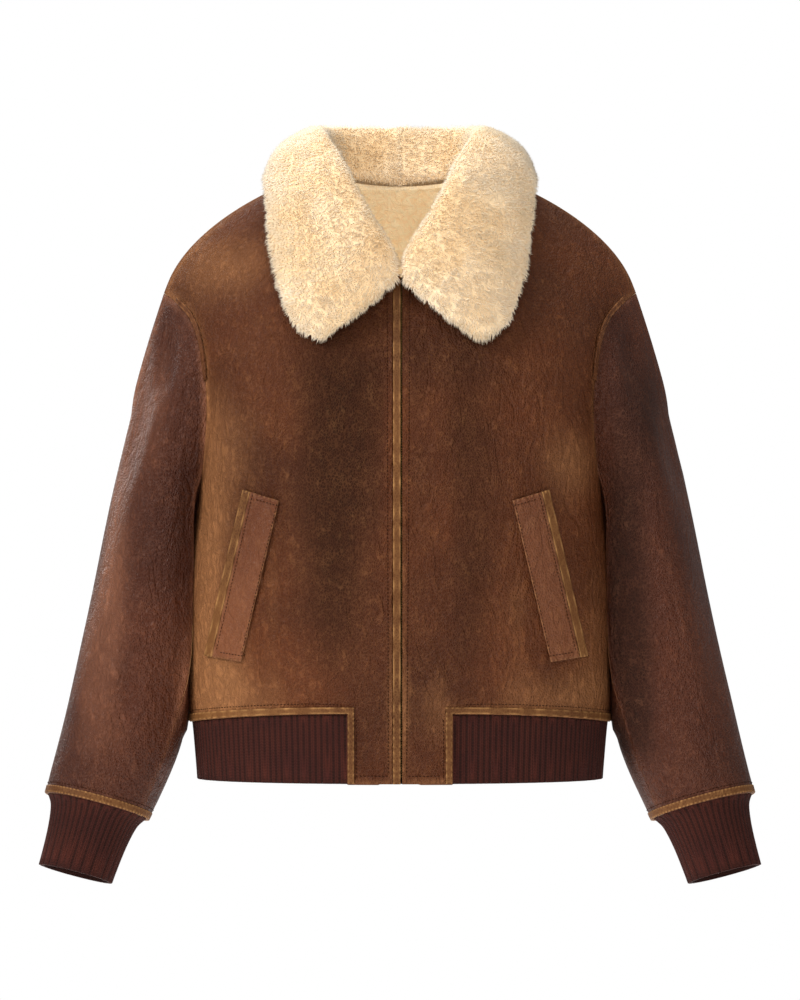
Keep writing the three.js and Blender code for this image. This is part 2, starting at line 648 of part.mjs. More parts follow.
// Leather trims that lie on a panel: each is made from the panel's points, moved out
function trimPatch(surface, normalAt, columns, rows) {
  const grid = (offset) => rows.map((t) => columns.map((s) => (
    along(surface(s, t), normalAt(s, t), offset))));
  return { outer: grid(LIFT + TRIM), inner: grid(LIFT) };
}

// Raw leather edge above the hem rib, down the side of the leather at the middle of each front
const TAPE_ROW = 0.016;          // rows are 390 mm a unit just above the hem seam
function frontHemTape() {
  const columns = FRONT_COLUMNS.slice(FRONT_COLUMNS.indexOf(TAPE_COLUMN));
  const grid = (offset) => [...CENTRE_DROPS.map((drop) => columns.map((s) => (
    s > HEM_COLUMN ? null : along(centreHemPoint(s, drop), frontWallNormal(s, 0), offset)))),
  ...[0, TAPE_ROW].map((t) => columns.map((s) => (
    along(frontSurface(s, t), frontWallNormal(s, 0), offset).add(new THREE.Vector3(0, -PART * s * s, 0)))))];
  return { outer: grid(LIFT + TRIM), inner: grid(LIFT) };
}
const hemTapeFront = frontHemTape();
addPiece('hem_tape_front_left', wallGeometry([hemTapeFront]), COLOURS.trim, TRIM_ROUGH);
addPiece('hem_tape_front_right', wallGeometry([mirrorPatch(hemTapeFront)]), COLOURS.trim, TRIM_ROUGH);
const backTapeShift = (surface) => (s, t) => surface(s, t).add(new THREE.Vector3(0, PART * s * s, 0));
const reversed = ({ outer, inner }) => ({
  outer: outer.map((row) => [...row].reverse()),
  inner: inner.map((row) => [...row].reverse()),
});
const hemTapeBack = reversed(trimPatch(backTapeShift(backSurface), (s) => backWallNormal(s, 0),
  BACK_COLUMNS, [0, TAPE_ROW]));
addPiece('hem_tape_back', wallGeometry([hemTapeBack, mirrorPatch(hemTapeBack)]), COLOURS.trim, TRIM_ROUGH);

// Raw leather edge along each armhole, on the front and on the back
const TAPE_START = 0.66;         // below this row the edge is tucked in behind the body's front
const ARMHOLE_ROWS = UPPER_ROWS.filter((t) => t > TAPE_START && t < 1);
function armholeTape(surface, normalAt) {
  const columnsAt = (t) => {
    const width = surface(0.98, t).distanceTo(surface(1, t)) / 0.02;
    return [1 - ARMHOLE_TAPE / width, 1];
  };
  const grid = (offset) => ARMHOLE_ROWS.map((t) => columnsAt(t).map((s) => (
    along(surface(s, t), normalAt(s, t), offset))));
  return { outer: grid(LIFT + TRIM), inner: grid(LIFT) };
}
for (const [name, surface, normalAt] of [
  ['front', frontSurface, frontWallNormal],
  ['back', backSurface, backWallNormal],
]) {
  const tape = armholeTape(surface, normalAt);
  addPiece(`armhole_tape_${name}_left`, wallGeometry([tape]), COLOURS.trim, TRIM_ROUGH);
  addPiece(`armhole_tape_${name}_right`, wallGeometry([mirrorPatch(tape)]), COLOURS.trim, TRIM_ROUGH);
}

// Raw leather edge round the end of each sleeve
function cuffTapeGeometry(reflect) {
  const end = SLEEVE[SLEEVE_SECTIONS];
  const before = SLEEVE[SLEEVE_SECTIONS - 1];
  const inside = SLEEVE_INSIDE[SLEEVE_SECTIONS];
  const insideBefore = SLEEVE_INSIDE[SLEEVE_SECTIONS - 1];
  const ring = (offset) => [0, CUFF_TAPE].map((height) => steps(RING).map((_, n) => {
    const k = n % RING;
    const length = end[k].distanceTo(before[k]);
    const share = height / length;
    const point = end[k].clone().lerp(before[k], share);
    const inner = inside[k].clone().lerp(insideBefore[k], share);
    return reflect(along(point, point.clone().sub(inner).normalize(), offset));
  }));
  return wallGeometry([{ outer: ring(LIFT + TRIM), inner: ring(LIFT) }]);
}
addPiece('cuff_tape_left', cuffTapeGeometry((p) => p), COLOURS.trim, TRIM_ROUGH);
addPiece('cuff_tape_right', cuffTapeGeometry(mirrored), COLOURS.trim, TRIM_ROUGH);

// Pocket welts: four corners in x and z on the front, and a raw leather strip on the outer long edge
const WELT = {
  innerTop: [113.5, -295.5],
  outerTop: [149, -284.8],
  outerBottom: [188, -448.7],
  innerBottom: [151.3, -453.7],
};
const WELT_SHIFT = { right: 4, left: -4 };
const WELT_STRIP = 0.2;          // share of the welt's width that the strip takes
const WELT_GAP = 0.012;
function weltPatch(shift, fromAcross, toAcross) {
  const mix = (a, b, share) => a + (b - a) * share;
  const place = (across, down) => {
    const top = [0, 1].map((axis) => mix(WELT.innerTop[axis], WELT.outerTop[axis], across));
    const bottom = [0, 1].map((axis) => mix(WELT.innerBottom[axis], WELT.outerBottom[axis], across));
    const { s, t } = frontPlace(mix(top[0], bottom[0], down) + shift, mix(top[1], bottom[1], down));
    return { point: frontSurface(s, t), normal: frontNormal(s, t) };
  };
  const columns = fromAcross === 0 ? 3 : 1;
  const places = steps(6).map((down) => (
    steps(columns).map((f) => place(mix(fromAcross, toAcross, f), 1 - down))));
  const grid = (offset) => places.map((row) => row.map(({ point, normal }) => along(point, normal, offset)));
  return { outer: grid(LIFT + TRIM), inner: grid(LIFT) };
}
for (const side of ['left', 'right']) {
  const turn = side === 'left' ? (patch) => patch : mirrorPatch;
  const welt = weltPatch(WELT_SHIFT[side], 0, 1 - WELT_STRIP - WELT_GAP);
  const strip = weltPatch(WELT_SHIFT[side], 1 - WELT_STRIP, 1);
  addPiece(`welt_${side}`, wallGeometry([turn(welt)]), COLOURS.leather, LEATHER_ROUGH);
  addPiece(`welt_strip_${side}`, wallGeometry([turn(strip)]), COLOURS.trim, TRIM_ROUGH);
}

// Collar
// Half the sections, from the front end to the centre back, with the fold and the outer edge of each.
// The skin goes up from the neck seam, folds over and falls to the edge. The fur is on its outer side.
const COLLAR_ROWS = [
  { t: 0, roll: [6, -111, -74], edge: [78, -119, -134] },
  { t: 0.12, roll: [26, -105, -44], edge: [98, -113, -124] },
  { t: 0.28, roll: [47, -90, -10], edge: [114, -93, -86] },
  { t: 0.44, roll: [66, -60, 32], edge: [124, -59, -35] },
  { t: 0.6, roll: [84, -10, 60], edge: [127, -20, 22] },
  { t: 0.74, roll: [82, 42, 66], edge: [123, 44, 26] },
  { t: 0.88, roll: [46, 74, 68], edge: [76, 98, 8] },
  { t: 1, roll: [0, 80, 68], edge: [0, 108, 0] },
];
const COLLAR_STEPS = 13;
const COLLAR_SHOULDER = 0.6;     // place on the collar where it passes the shoulder seam
const COLLAR_START = 0.06;       // share of the front neckline left free beside the closure
const COLLAR_SEAM = 0.6;
const END_SWELL = 7;             // how far the fur swells past each front end
const END_DEPTH = 0.45;          // share of the fur's depth at that swell
const EDGE_SWELL = 9;            // how far the fur swells past the outer edge
const FALL_BULGE = 7;
const STAND_DEPTH = 0.75;        // share of the fur's depth on the stand
const CENTRE_CLEAR = 0.3;
const FOLD_TURNS = [-0.9, 0, 0.9];         // directions of the fur round the fold, in radians
const FUR_POINTS = 11;           // points on the fur side of a section; the rest are on the skin

// The neck seam runs beside the panels' neck edges, which are straight from row to row
function neckSeam(t) {
  const onFront = t < COLLAR_SHOULDER;
  const surface = onFront ? frontSurface : backSurface;
  const normalAt = onFront ? frontWallNormal : backWallNormal;
  const neckRow = onFront ? FRONT_NECK : BACK_NECK;
  const share = onFront
    ? COLLAR_START + (t / COLLAR_SHOULDER) * (1 - COLLAR_START)
    : (1 - t) / (1 - COLLAR_SHOULDER);
  const row = neckRow + share * (1 - neckRow);
  const above = PANEL_ROWS.findIndex((r) => r >= row && r > neckRow);
  const [low, high] = [Math.max(PANEL_ROWS[above - 1], neckRow), PANEL_ROWS[above]];
  const [from, to] = [surface(0, low), surface(0, high)];
  const run = to.clone().sub(from).normalize();
  const away = run.clone().cross(normalAt(0, row)).normalize().multiplyScalar(onFront ? -1 : 1);
  return along(from.lerp(to, (row - low) / (high - low)), away, COLLAR_SEAM);
}

function collarSection(seam, roll, edge, depth) {
  const toEdge = edge.clone().sub(seam).normalize();
  const toRoll = roll.clone().sub(seam);
  const up = along(toRoll, toEdge, -toRoll.dot(toEdge)).normalize();
  const flat = (point) => new THREE.Vector2(point.clone().sub(seam).dot(toEdge), point.clone().sub(seam).dot(up));
  const solid = (p) => along(along(seam, toEdge, p.x), up, p.y);
  const [s, r, e] = [seam, roll, edge].map(flat);
  const leftOf = (from, to) => {
    const run = to.clone().sub(from).normalize();
    return new THREE.Vector2(-run.y, run.x);
  };
  const standSide = leftOf(s, r);
  const fallSide = leftOf(r, e);
  const fold = standSide.clone().add(fallSide).normalize();
  const onFall = (f) => r.clone().lerp(e, f).addScaledVector(fallSide, FALL_BULGE * Math.sin(Math.PI * f));
  const skin = [s, s.clone().lerp(r, 0.5), r, onFall(0.25), onFall(0.5), onFall(0.75), e];
  const fallDirection = e.clone().sub(r).normalize();
  const fur = [
    s.clone().addScaledVector(standSide, depth * STAND_DEPTH),
    skin[1].clone().addScaledVector(standSide, depth * STAND_DEPTH),
    ...FOLD_TURNS.map((turn) => {
      const blend = fold.clone().rotateAround(new THREE.Vector2(), -turn);
      return r.clone().addScaledVector(blend, depth);
    }),
    ...[3, 4, 5].map((k) => skin[k].clone().addScaledVector(fallSide, depth)),
    e.clone().addScaledVector(fallSide, depth * 0.86),
    e.clone().addScaledVector(fallSide, depth * 0.45).addScaledVector(fallDirection, EDGE_SWELL),
    e.clone().addScaledVector(fallDirection, EDGE_SWELL * 0.6),
  ];
  return [...fur, ...[5, 4, 3, 2, 1, 0].map((k) => skin[k])].map(solid);
}

// Each half is a piece of its own: the two are sewn together at the centre back
function collarGeometry(reflect) {
  const column = (name, t) => (name === 'seam' ? neckSeam(t) : tablePoint(COLLAR_ROWS, name, t));
  const sections = steps(COLLAR_STEPS).map((t) => (
    collarSection(column('seam', t), column('roll', t), column('edge', t), FUR)));
  const swell = ['seam', 'roll', 'edge'].map((name) => {
    const outward = column(name, 0).sub(column(name, 1 / COLLAR_STEPS)).normalize();
    return along(column(name, 0), outward, END_SWELL);
  });
  sections.unshift(collarSection(...swell, FUR * END_DEPTH));
  for (const point of sections.flat()) point.setX(Math.max(point.x, CENTRE_CLEAR));
  const rings = sections.map((ring) => ring.map(reflect));
  const positions = [];
  const put = (...points) => points.forEach((point) => positions.push(point.x, point.y, point.z));
  for (let i = 0; i + 1 < rings.length; i += 1) {
    const count = rings[i].length;
    for (let k = 0; k < count; k += 1) {
      const next = (k + 1) % count;
      put(rings[i][k], rings[i][next], rings[i + 1][next]);
      put(rings[i][k], rings[i + 1][next], rings[i + 1][k]);
    }
  }
  const cap = (ring, flip) => {
    const fur = ring.slice(0, FUR_POINTS);
    const skin = ring.slice(FUR_POINTS).reverse();
    put(...bridge(fur, skin, flip));
  };
  cap(rings[0], false);
  cap(rings.at(-1), true);
  return closedGeometry(positions);
}
addPiece('collar_left', collarGeometry((point) => point), COLOURS.fur, SOFT_ROUGH);
addPiece('collar_right', collarGeometry(mirrored), COLOURS.fur, SOFT_ROUGH);

export default jacket;
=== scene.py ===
# %% [markdown]
# # A shearling jacket, dressed for the studio
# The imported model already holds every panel, band and rib of the jacket as a plain solid. This lesson
# gives each of them the skin of the real thing: worn brown hide, a plush fur collar, ribbed knit,
# raw tan edges and rows of stitches. Lengths are in metres. X runs to the wearer's left, Z is up, and the
# front of the jacket looks along minus Y.

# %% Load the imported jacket
import math

import bmesh
import bpy
import numpy as np
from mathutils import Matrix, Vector, noise
from mathutils.bvhtree import BVHTree
from mathutils.kdtree import KDTree


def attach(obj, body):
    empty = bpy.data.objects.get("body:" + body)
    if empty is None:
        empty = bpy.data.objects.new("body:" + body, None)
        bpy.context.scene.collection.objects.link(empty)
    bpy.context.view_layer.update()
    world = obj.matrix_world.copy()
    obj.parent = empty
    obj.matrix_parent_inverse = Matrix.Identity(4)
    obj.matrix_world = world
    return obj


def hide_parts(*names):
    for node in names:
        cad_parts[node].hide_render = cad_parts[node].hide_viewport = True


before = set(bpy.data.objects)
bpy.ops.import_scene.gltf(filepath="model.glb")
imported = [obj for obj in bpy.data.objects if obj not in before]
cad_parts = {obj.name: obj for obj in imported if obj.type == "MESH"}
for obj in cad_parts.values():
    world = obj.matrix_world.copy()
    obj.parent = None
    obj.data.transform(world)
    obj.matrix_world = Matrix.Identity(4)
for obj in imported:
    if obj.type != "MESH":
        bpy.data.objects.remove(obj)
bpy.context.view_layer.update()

MM = 0.001
print("nodes in the frame:", len(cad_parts))

# %% [markdown]
# ## The camera
# A product photograph is taken from far away with a long lens, so that near and far parts keep nearly the
# same scale. At five metres a 180 mm lens shows a frame one metre tall, and the camera stands level with
# the middle of the jacket.

# %% Place the camera
CAMERA_DISTANCE = 5.0
PICTURE_MIDDLE = -0.295
LONG_LENS = 180


def placed(name, data):
    """An object made of the given data and linked into the scene"""
    made = bpy.data.objects.new(name, data)
    bpy.context.scene.collection.objects.link(made)
    return made


camera_data = bpy.data.cameras.new("portrait_camera")
camera_data.lens = LONG_LENS
camera = placed("portrait_camera", camera_data)
camera.location = (0, -CAMERA_DISTANCE, PICTURE_MIDDLE)
camera.rotation_euler = (math.pi / 2, 0, 0)
bpy.context.scene.camera = camera
print("camera at", tuple(camera.location))

# %% [markdown]
# ## Floor and light
# The jacket hangs in a white studio. The floor is a wide pale plane below it, and it glows a little, so
# that it stays white where no lamp reaches. The light is soft: a large lamp high on the left does most of
# the work, and weaker ones open the shadows from the front, from above and from behind. The sky is white
# for the eye and dimmer for the surfaces, so that the shadows keep their depth.

# %% Lay the floor
FLOOR_HEIGHT = -1.05
FLOOR_HALF = 1.7
WHITE = (1, 1, 1, 1)
FLOOR_WHITE = (0.9, 0.9, 0.9, 1)
FLOOR_ROUGHNESS = 0.9
FLOOR_GLOW = 0.45


def floor_mesh():
    corners = [(-1, -1), (1, -1), (1, 1), (-1, 1)]
    points = [(x * FLOOR_HALF, y * FLOOR_HALF, FLOOR_HEIGHT) for x, y in corners]
    mesh = bpy.data.meshes.new("studio_floor")
    mesh.from_pydata(points, [], [(0, 1, 2, 3)])
    return mesh


floor = placed("studio_floor", floor_mesh())
floor_paint = bpy.data.materials.new("floor_paint")
floor_paint.use_nodes = True
floor_shader = floor_paint.node_tree.nodes["Principled BSDF"]
floor_shader.inputs["Base Color"].default_value = FLOOR_WHITE
floor_shader.inputs["Roughness"].default_value = FLOOR_ROUGHNESS
floor_shader.inputs["Emission Color"].default_value = WHITE
floor_shader.inputs["Emission Strength"].default_value = FLOOR_GLOW
floor.data.materials.append(floor_paint)
print("floor:", 2 * FLOOR_HALF, "metres wide")

# %% Hang the lamps: place, width in metres and power in watts
LAMPS = {
    "key_lamp": ((-3.0, -2.3, 1.5), 1.6, 132),
    "front_lamp": ((0.5, -3.6, 1.5), 1.8, 70),
    "top_lamp": ((-0.3, 0.3, 2.4), 1.4, 44),
    "rear_lamp": ((-1.6, 3.1, 1.2), 2.0, 75),
}
LAMP_COLOUR = (1.0, 0.985, 0.96)
AIM = Vector((0, 0, PICTURE_MIDDLE))


def lamp(name, place, size, power):
    data = bpy.data.lights.new(name, "AREA")
    data.shape = "SQUARE"
    data.size = size
    data.energy = power
    data.color = LAMP_COLOUR
    holder = placed(name, data)
    holder.location = place
    holder.rotation_euler = (AIM - Vector(place)).to_track_quat("-Z", "Y").to_euler()


for name, (place, size, power) in LAMPS.items():
    lamp(name, place, size, power)
print("lamps:", len(LAMPS))

# %% Paint the sky
SKY_FOR_THE_EYE = 1.0
SKY_ON_SURFACES = 0.40
sky = bpy.data.worlds.new("studio_sky")
sky.use_nodes = True
bpy.context.scene.world = sky
sky_nodes = sky.node_tree.nodes
sky_links = sky.node_tree.links
sky_nodes.clear()


def white_background(strength):
    made = sky_nodes.new("ShaderNodeBackground")
    made.inputs["Color"].default_value = WHITE
    made.inputs["Strength"].default_value = strength
    return made.outputs["Background"]


path = sky_nodes.new("ShaderNodeLightPath")
choose = sky_nodes.new("ShaderNodeMixShader")
world_out = sky_nodes.new("ShaderNodeOutputWorld")
sky_links.new(path.outputs["Is Camera Ray"], choose.inputs["Fac"])
sky_links.new(white_background(SKY_ON_SURFACES), choose.inputs[1])
sky_links.new(white_background(SKY_FOR_THE_EYE), choose.inputs[2])
sky_links.new(choose.outputs["Shader"], world_out.inputs["Surface"])
bpy.context.scene.view_settings.view_transform = "Standard"
print("sky on the surfaces:", SKY_ON_SURFACES)

# %% [markdown]
# ## Small helpers for shader nodes
# Every finish below is drawn with nodes. A few helpers keep that short. They fill in the inputs of a node,
# do a sum, mix two colours, sharpen a grey value into a mask, lay blotches of noise over the object, and
# read a value that was painted on its points.


# %% Helpers for nodes
def colour(code):
    """A colour written as six hex digits, turned into the linear numbers that shaders use"""
    parts = [int(code[k:k + 2], 16) / 255 for k in (0, 2, 4)]
    linear = [p / 12.92 if p <= 0.04045 else ((p + 0.055) / 1.055) ** 2.4 for p in parts]
    return (*linear, 1)


def place_value(tree, socket, value):
    if isinstance(value, bpy.types.NodeSocket):
        tree.links.new(value, socket)
    else:
        socket.default_value = value


def fill(tree, made, **inputs):
    """Set or link inputs by name; an underscore stands for a space in the name"""
    for key, value in inputs.items():
        place_value(tree, made.inputs[key.replace("_", " ")], value)


def node(tree, kind, settings=None, **inputs):
    made = tree.nodes.new("ShaderNode" + kind)
    for key, value in (settings or {}).items():
        setattr(made, key, value)
    fill(tree, made, **inputs)
    return made


def sums(tree, operation, first, second=0.0):
    made = node(tree, "Math", {"operation": operation})
    place_value(tree, made.inputs[0], first)
    place_value(tree, made.inputs[1], second)
    return made.outputs[0]


def plus(tree, first, second):
    return sums(tree, "ADD", first, second)


def times(tree, first, second):
    return sums(tree, "MULTIPLY", first, second)


def flipped(tree, value):
    """1 where the value is 0, and 0 where it is 1"""
    return sums(tree, "SUBTRACT", 1.0, value)


def centred(tree, noise_value):
    """Noise lies round a half; this moves its middle to zero"""
    return sums(tree, "SUBTRACT", noise_value, 0.5)


# A Mix node has a set of sockets for every kind of data. These are the places of its colour sockets.
MIX_SHARE, MIX_FIRST, MIX_SECOND, MIX_RESULT = 0, 6, 7, 2


def mix(tree, share, first, second):
    made = node(tree, "Mix", {"data_type": "RGBA"})
    place_value(tree, made.inputs[MIX_SHARE], share)
    place_value(tree, made.inputs[MIX_FIRST], first)
    place_value(tree, made.inputs[MIX_SECOND], second)
    return made.outputs[MIX_RESULT]


def mask(tree, value, low, high, to_low=0.0, to_high=1.0):
    made = node(tree, "MapRange", {"interpolation_type": "SMOOTHSTEP"}, Value=value, From_Min=low,
                From_Max=high, To_Min=to_low, To_Max=to_high)
    return made.outputs["Result"]


def object_place(tree):
    return node(tree, "TexCoord").outputs["Object"]


def blotches(tree, place, scale, detail=3.0, roughness=0.5, distortion=0.0):
    made = node(tree, "TexNoise", Vector=place, Scale=scale, Detail=detail, Roughness=roughness,
                Distortion=distortion)
    return made.outputs["Fac"]


def painted(tree, name):
    return node(tree, "Attribute", {"attribute_name": name}).outputs["Fac"]


def new_material(name):
    made = bpy.data.materials.new(name)
    made.use_nodes = True
    shader = made.node_tree.nodes["Principled BSDF"]
    return made, made.node_tree, shader


def bump(tree, shader, height, depth):
    made = node(tree, "Bump", Height=height, Strength=1.0, Distance=depth)
    tree.links.new(made.outputs["Normal"], shader.inputs["Normal"])


# %% [markdown]
# ## Worn hide, with painted highlights and painted shade
# Shearling is a sheepskin with the wool left on: the wool is inside, and the outside is the hide, stained
# and waxed. Where it bends or rubs, the stain lifts and a lighter, more orange brown shows. The same paler
# brown is also laid in streaks down the sleeves and beside the closure as painted highlights. Beside the
# closure on the chest and where a sleeve lies against the body, the colour is painted almost black: that
# is painted shade. One node group draws this for the body, the sleeves, the pocket welts and the raw
# edges. The mesh says how far each place is rubbed or lit: above zero the stain lifts or a highlight is
# painted, and below zero painted shade darkens it.


# %% Draw the stain, where it is rubbed off, and the painted highlights and shade
CLOUD_SCALE = 7
MOTTLE_SCALE = 38
RAGGED_RUB = 0.14
CLOUDED_RUB = 0.25
WEAR_AND_HIGHLIGHT_SHOWS = (0.10, 1.15)
# How much painted shade darkens the hide, and its colour
PAINTED_SHADE_SHARE = 0.86
PAINTED_SHADE_COLOUR = (0.008, 0.0025, 0.001, 1)


def draw_stain_wear_and_painted_light(group, given, place, mottle):
    broad = blotches(group, place, CLOUD_SCALE, detail=2, roughness=0.45, distortion=0.3)
    stained = mix(group, mask(group, broad, 0.25, 0.75), given["Dark"], given["Mid"])
    ragged = times(group, centred(group, mottle), RAGGED_RUB)
    clouded = times(group, centred(group, broad), CLOUDED_RUB)
    # Above zero the stain lifts to the paler colour: wear, and in some ovals a painted highlight
    wear_and_light = plus(group, plus(group, given["Rub"], ragged), clouded)
    wear_and_highlight_mask = mask(group, wear_and_light, *WEAR_AND_HIGHLIGHT_SHOWS)
    # Below zero the colour is painted almost black: painted shade
    painted_shade_mask = mask(group, times(group, given["Rub"], -1.0), 0.0, 1.0)
    shaded_colour = mix(group, times(group, painted_shade_mask, PAINTED_SHADE_SHARE), stained, PAINTED_SHADE_COLOUR)
    return mix(group, wear_and_highlight_mask, shaded_colour, given["Rubbed"]), wear_and_highlight_mask, painted_shade_mask


# %% [markdown]
# Hide has a skin of its own. Pebbled grain comes from the cells of a Voronoi texture. Wrinkles come from
# noise: a line runs wherever it crosses its middle value. The noise is stretched upwards, as wrinkles run,
# and a finer set crosses the long one.


# %% Draw the grain and the wrinkles
PEBBLE_SCALE = 430.0
PEBBLE_STRETCH = (1.0, 1.0, 0.72)
PEBBLE_RIM = 0.28
WRINKLE_SCALE = 46
WRINKLE_WIDTH = 0.13
CROSSING_SCALE = 135
CROSSING_WIDTH = 0.22
WRINKLE_STRETCH = (1.0, 1.0, 0.5)


def draw_pebbles(group, place):
    stretched = node(group, "Mapping", Vector=place, Scale=PEBBLE_STRETCH).outputs["Vector"]
    cells = node(group, "TexVoronoi", {"feature": "DISTANCE_TO_EDGE"}, Vector=stretched,
                 Scale=PEBBLE_SCALE)
    return mask(group, cells.outputs["Distance"], 0.0, PEBBLE_RIM)


def draw_wrinkles(group, noise_value, width):
    """0 in a wrinkle and 1 beside it"""
    from_middle = sums(group, "ABSOLUTE", centred(group, noise_value))
    return mask(group, from_middle, 0.0, width)


# %% [markdown]
# The group puts these together. Wear catches the rims of the pebbles, so they turn a little paler. The
# tops between the wrinkles turn paler too, with wear and a painted highlight, the wrinkles are darkened
# with painted shade, and small specks of stain turn darker.

# %% Build the worn hide group
SPECK_SCALE = 420
MOTTLE_SHARE = 0.04
RIM_SHARE = 0.22
TOP_SHARE = 0.09
CREASE_SHADE_SHARE = 0.36
SPECK_SHARE = 0.10
PEBBLE_HEIGHT = 0.30
WRINKLE_HEIGHT = 0.50
CROSSING_HEIGHT = 0.34
POLISH = 0.12
WEAR_AND_HIGHLIGHT_ROUGHER = 0.06
PAINTED_SHADE_ROUGHER = 0.35
HIDE_SOCKETS = [
    ("INPUT", "NodeSocketColor", {"Dark": None, "Mid": None, "Rubbed": None}),
    ("INPUT", "NodeSocketFloat", {"Rub": 0.0, "Grain": 1.0, "Base Roughness": 0.5}),
    ("OUTPUT", "NodeSocketColor", {"Color": None}),
    ("OUTPUT", "NodeSocketFloat", {"Roughness": None, "Height": None}),
]


def hide_group():
    group = bpy.data.node_groups.new("worn_hide", "ShaderNodeTree")
    for side, kind, sockets in HIDE_SOCKETS:
        for name, value in sockets.items():
            socket = group.interface.new_socket(name=name, in_out=side, socket_type=kind)
            if value is not None:
                socket.default_value = value
    given = group.nodes.new("NodeGroupInput").outputs
    result = group.nodes.new("NodeGroupOutput").inputs
    place = object_place(group)

    mottle = blotches(group, place, MOTTLE_SCALE, detail=6, roughness=0.7, distortion=0.3)
    # The stain with its wear, its painted highlights and its painted shade
    worn, wear_and_highlight_mask, painted_shade_mask = draw_stain_wear_and_painted_light(group, given, place, mottle)
    light_mottle = times(group, mask(group, mottle, 0.48, 0.75), MOTTLE_SHARE)
    mottled = mix(group, light_mottle, worn, given["Rubbed"])

    pebble = draw_pebbles(group, place)
    tall = node(group, "Mapping", Vector=place, Scale=WRINKLE_STRETCH).outputs["Vector"]
    long_noise = blotches(group, tall, WRINKLE_SCALE, detail=2, roughness=0.45, distortion=1.0)
    wrinkle = draw_wrinkles(group, long_noise, WRINKLE_WIDTH)
    fine_noise = blotches(group, tall, CROSSING_SCALE, detail=2, roughness=0.4, distortion=0.6)
    fine = draw_wrinkles(group, fine_noise, CROSSING_WIDTH)

    open_grain = mask(group, mottle, 0.10, 0.90)
    rims = times(group, flipped(group, pebble), open_grain)
    speckled = mix(group, times(group, rims, RIM_SHARE), mottled, given["Rubbed"])
    # The tops between the wrinkles turn paler: wear and a painted highlight
    tops = times(group, mask(group, fine, 0.75, 1.0), open_grain)
    worn_and_lit_tops = mix(group, times(group, tops, TOP_SHARE), speckled, given["Rubbed"])
    # The wrinkles are darkened with painted shade
    crease = flipped(group, times(group, fine, mask(group, wrinkle, 0.0, 1.0, 0.5, 1.0)))
    crease_shaded = mix(group, times(group, crease, CREASE_SHADE_SHARE), worn_and_lit_tops, given["Dark"])
    specks = blotches(group, place, SPECK_SCALE, detail=3, roughness=0.6)
    dark_specks = times(group, mask(group, specks, 0.5, 0.72), SPECK_SHARE)
    group.links.new(mix(group, dark_specks, crease_shaded, given["Dark"]), result["Color"])

    lumps = times(group, times(group, pebble, given["Grain"]), PEBBLE_HEIGHT)
    folds = plus(group, times(group, wrinkle, WRINKLE_HEIGHT), times(group, fine, CROSSING_HEIGHT))
    group.links.new(plus(group, lumps, folds), result["Height"])

    polish = times(group, centred(group, mottle), POLISH)
    dulled = plus(group, times(group, wear_and_highlight_mask, WEAR_AND_HIGHLIGHT_ROUGHER), times(group, painted_shade_mask, PAINTED_SHADE_ROUGHER))
    rough = plus(group, given["Base Roughness"], plus(group, polish, dulled))
    group.links.new(rough, result["Roughness"])
    return group


WORN_HIDE = hide_group()
print("sockets of the hide group:", len(WORN_HIDE.interface.items_tree))

# %% [markdown]
# Four leathers use the group. The body is a warm brown, the sleeves are a darker and redder one with a
# little more gloss, the welts are paler, and the raw edges are tan with hardly any grain.


# %% Make the leathers
def hide_material(name, dark, mid, rubbed, roughness, grain=1.0, depth=2.0, gloss=0.11):
    made, tree, shader = new_material(name)
    group = node(tree, "Group", {"node_tree": WORN_HIDE}, Dark=colour(dark), Mid=colour(mid),
                 Rubbed=colour(rubbed), Rub=painted(tree, "wear_and_light"), Grain=grain,
                 Base_Roughness=roughness)
    fill(tree, shader, Base_Color=group.outputs["Color"], Roughness=group.outputs["Roughness"],
         Specular_IOR_Level=gloss)
    bump(tree, shader, group.outputs["Height"], depth * MM)
    return made


BODY_HIDE = hide_material("body_hide", "3a1a0a", "5f3118", "996740", 0.48)
SLEEVE_HIDE = hide_material("sleeve_hide", "36170c", "4f2716", "8f5c42", 0.44, gloss=0.15)
WELT_HIDE = hide_material("welt_hide", "552d1a", "78482e", "9a6c46", 0.43, grain=0.7, gloss=0.14)
EDGE_HIDE = hide_material("raw_edge_hide", "482812", "6d4524", "c08f58", 0.62, grain=0.4, depth=0.4)
print("leathers:", BODY_HIDE.name, SLEEVE_HIDE.name, WELT_HIDE.name, EDGE_HIDE.name)

# %% [markdown]
# ## Fleece, knit, thread and zip
# Inside the jacket the wool is short and cream. It is drawn with a lumpy bump, since only a glimpse of it
# shows at the neck and under the hem. Light passes through wool and comes out again, and a faint glow
# stands in for that. The ribs of the knitted bands are real shapes further on, so their material adds only
# the rows of loops with a painted highlight, the fibres, and painted shade in the groove between two ribs
# and in a second, shallow groove along the middle of each. Thread and zip are plain and small.

# %% Make the fleece of the lining
FLEECE_TUFT_SCALE = 150
FLEECE_FIBRE_SCALE = 650
FLEECE_DEPTH = 5 * MM
FLEECE_GLOW = 0.28


def fleece_material():
    made, tree, shader = new_material("cream_fleece")
    place = object_place(tree)
    tufts = blotches(tree, place, FLEECE_TUFT_SCALE, detail=5, roughness=0.7, distortion=0.8)
    fibres = blotches(tree, place, FLEECE_FIBRE_SCALE, detail=3, roughness=0.7)
    shade = mix(tree, mask(tree, tufts, 0.3, 0.7), colour("e9c58c"), colour("f3dcb0"))
    tinted = mix(tree, times(tree, fibres, 0.3), shade, colour("fff3dc"))
    bump(tree, shader, plus(tree, tufts, times(tree, fibres, 0.4)), FLEECE_DEPTH)
    fill(tree, shader, Base_Color=tinted, Roughness=0.95, Sheen_Weight=0.3, Emission_Color=tinted,
         Emission_Strength=FLEECE_GLOW)
    return made


FLEECE = fleece_material()
print("fleece:", FLEECE.name)

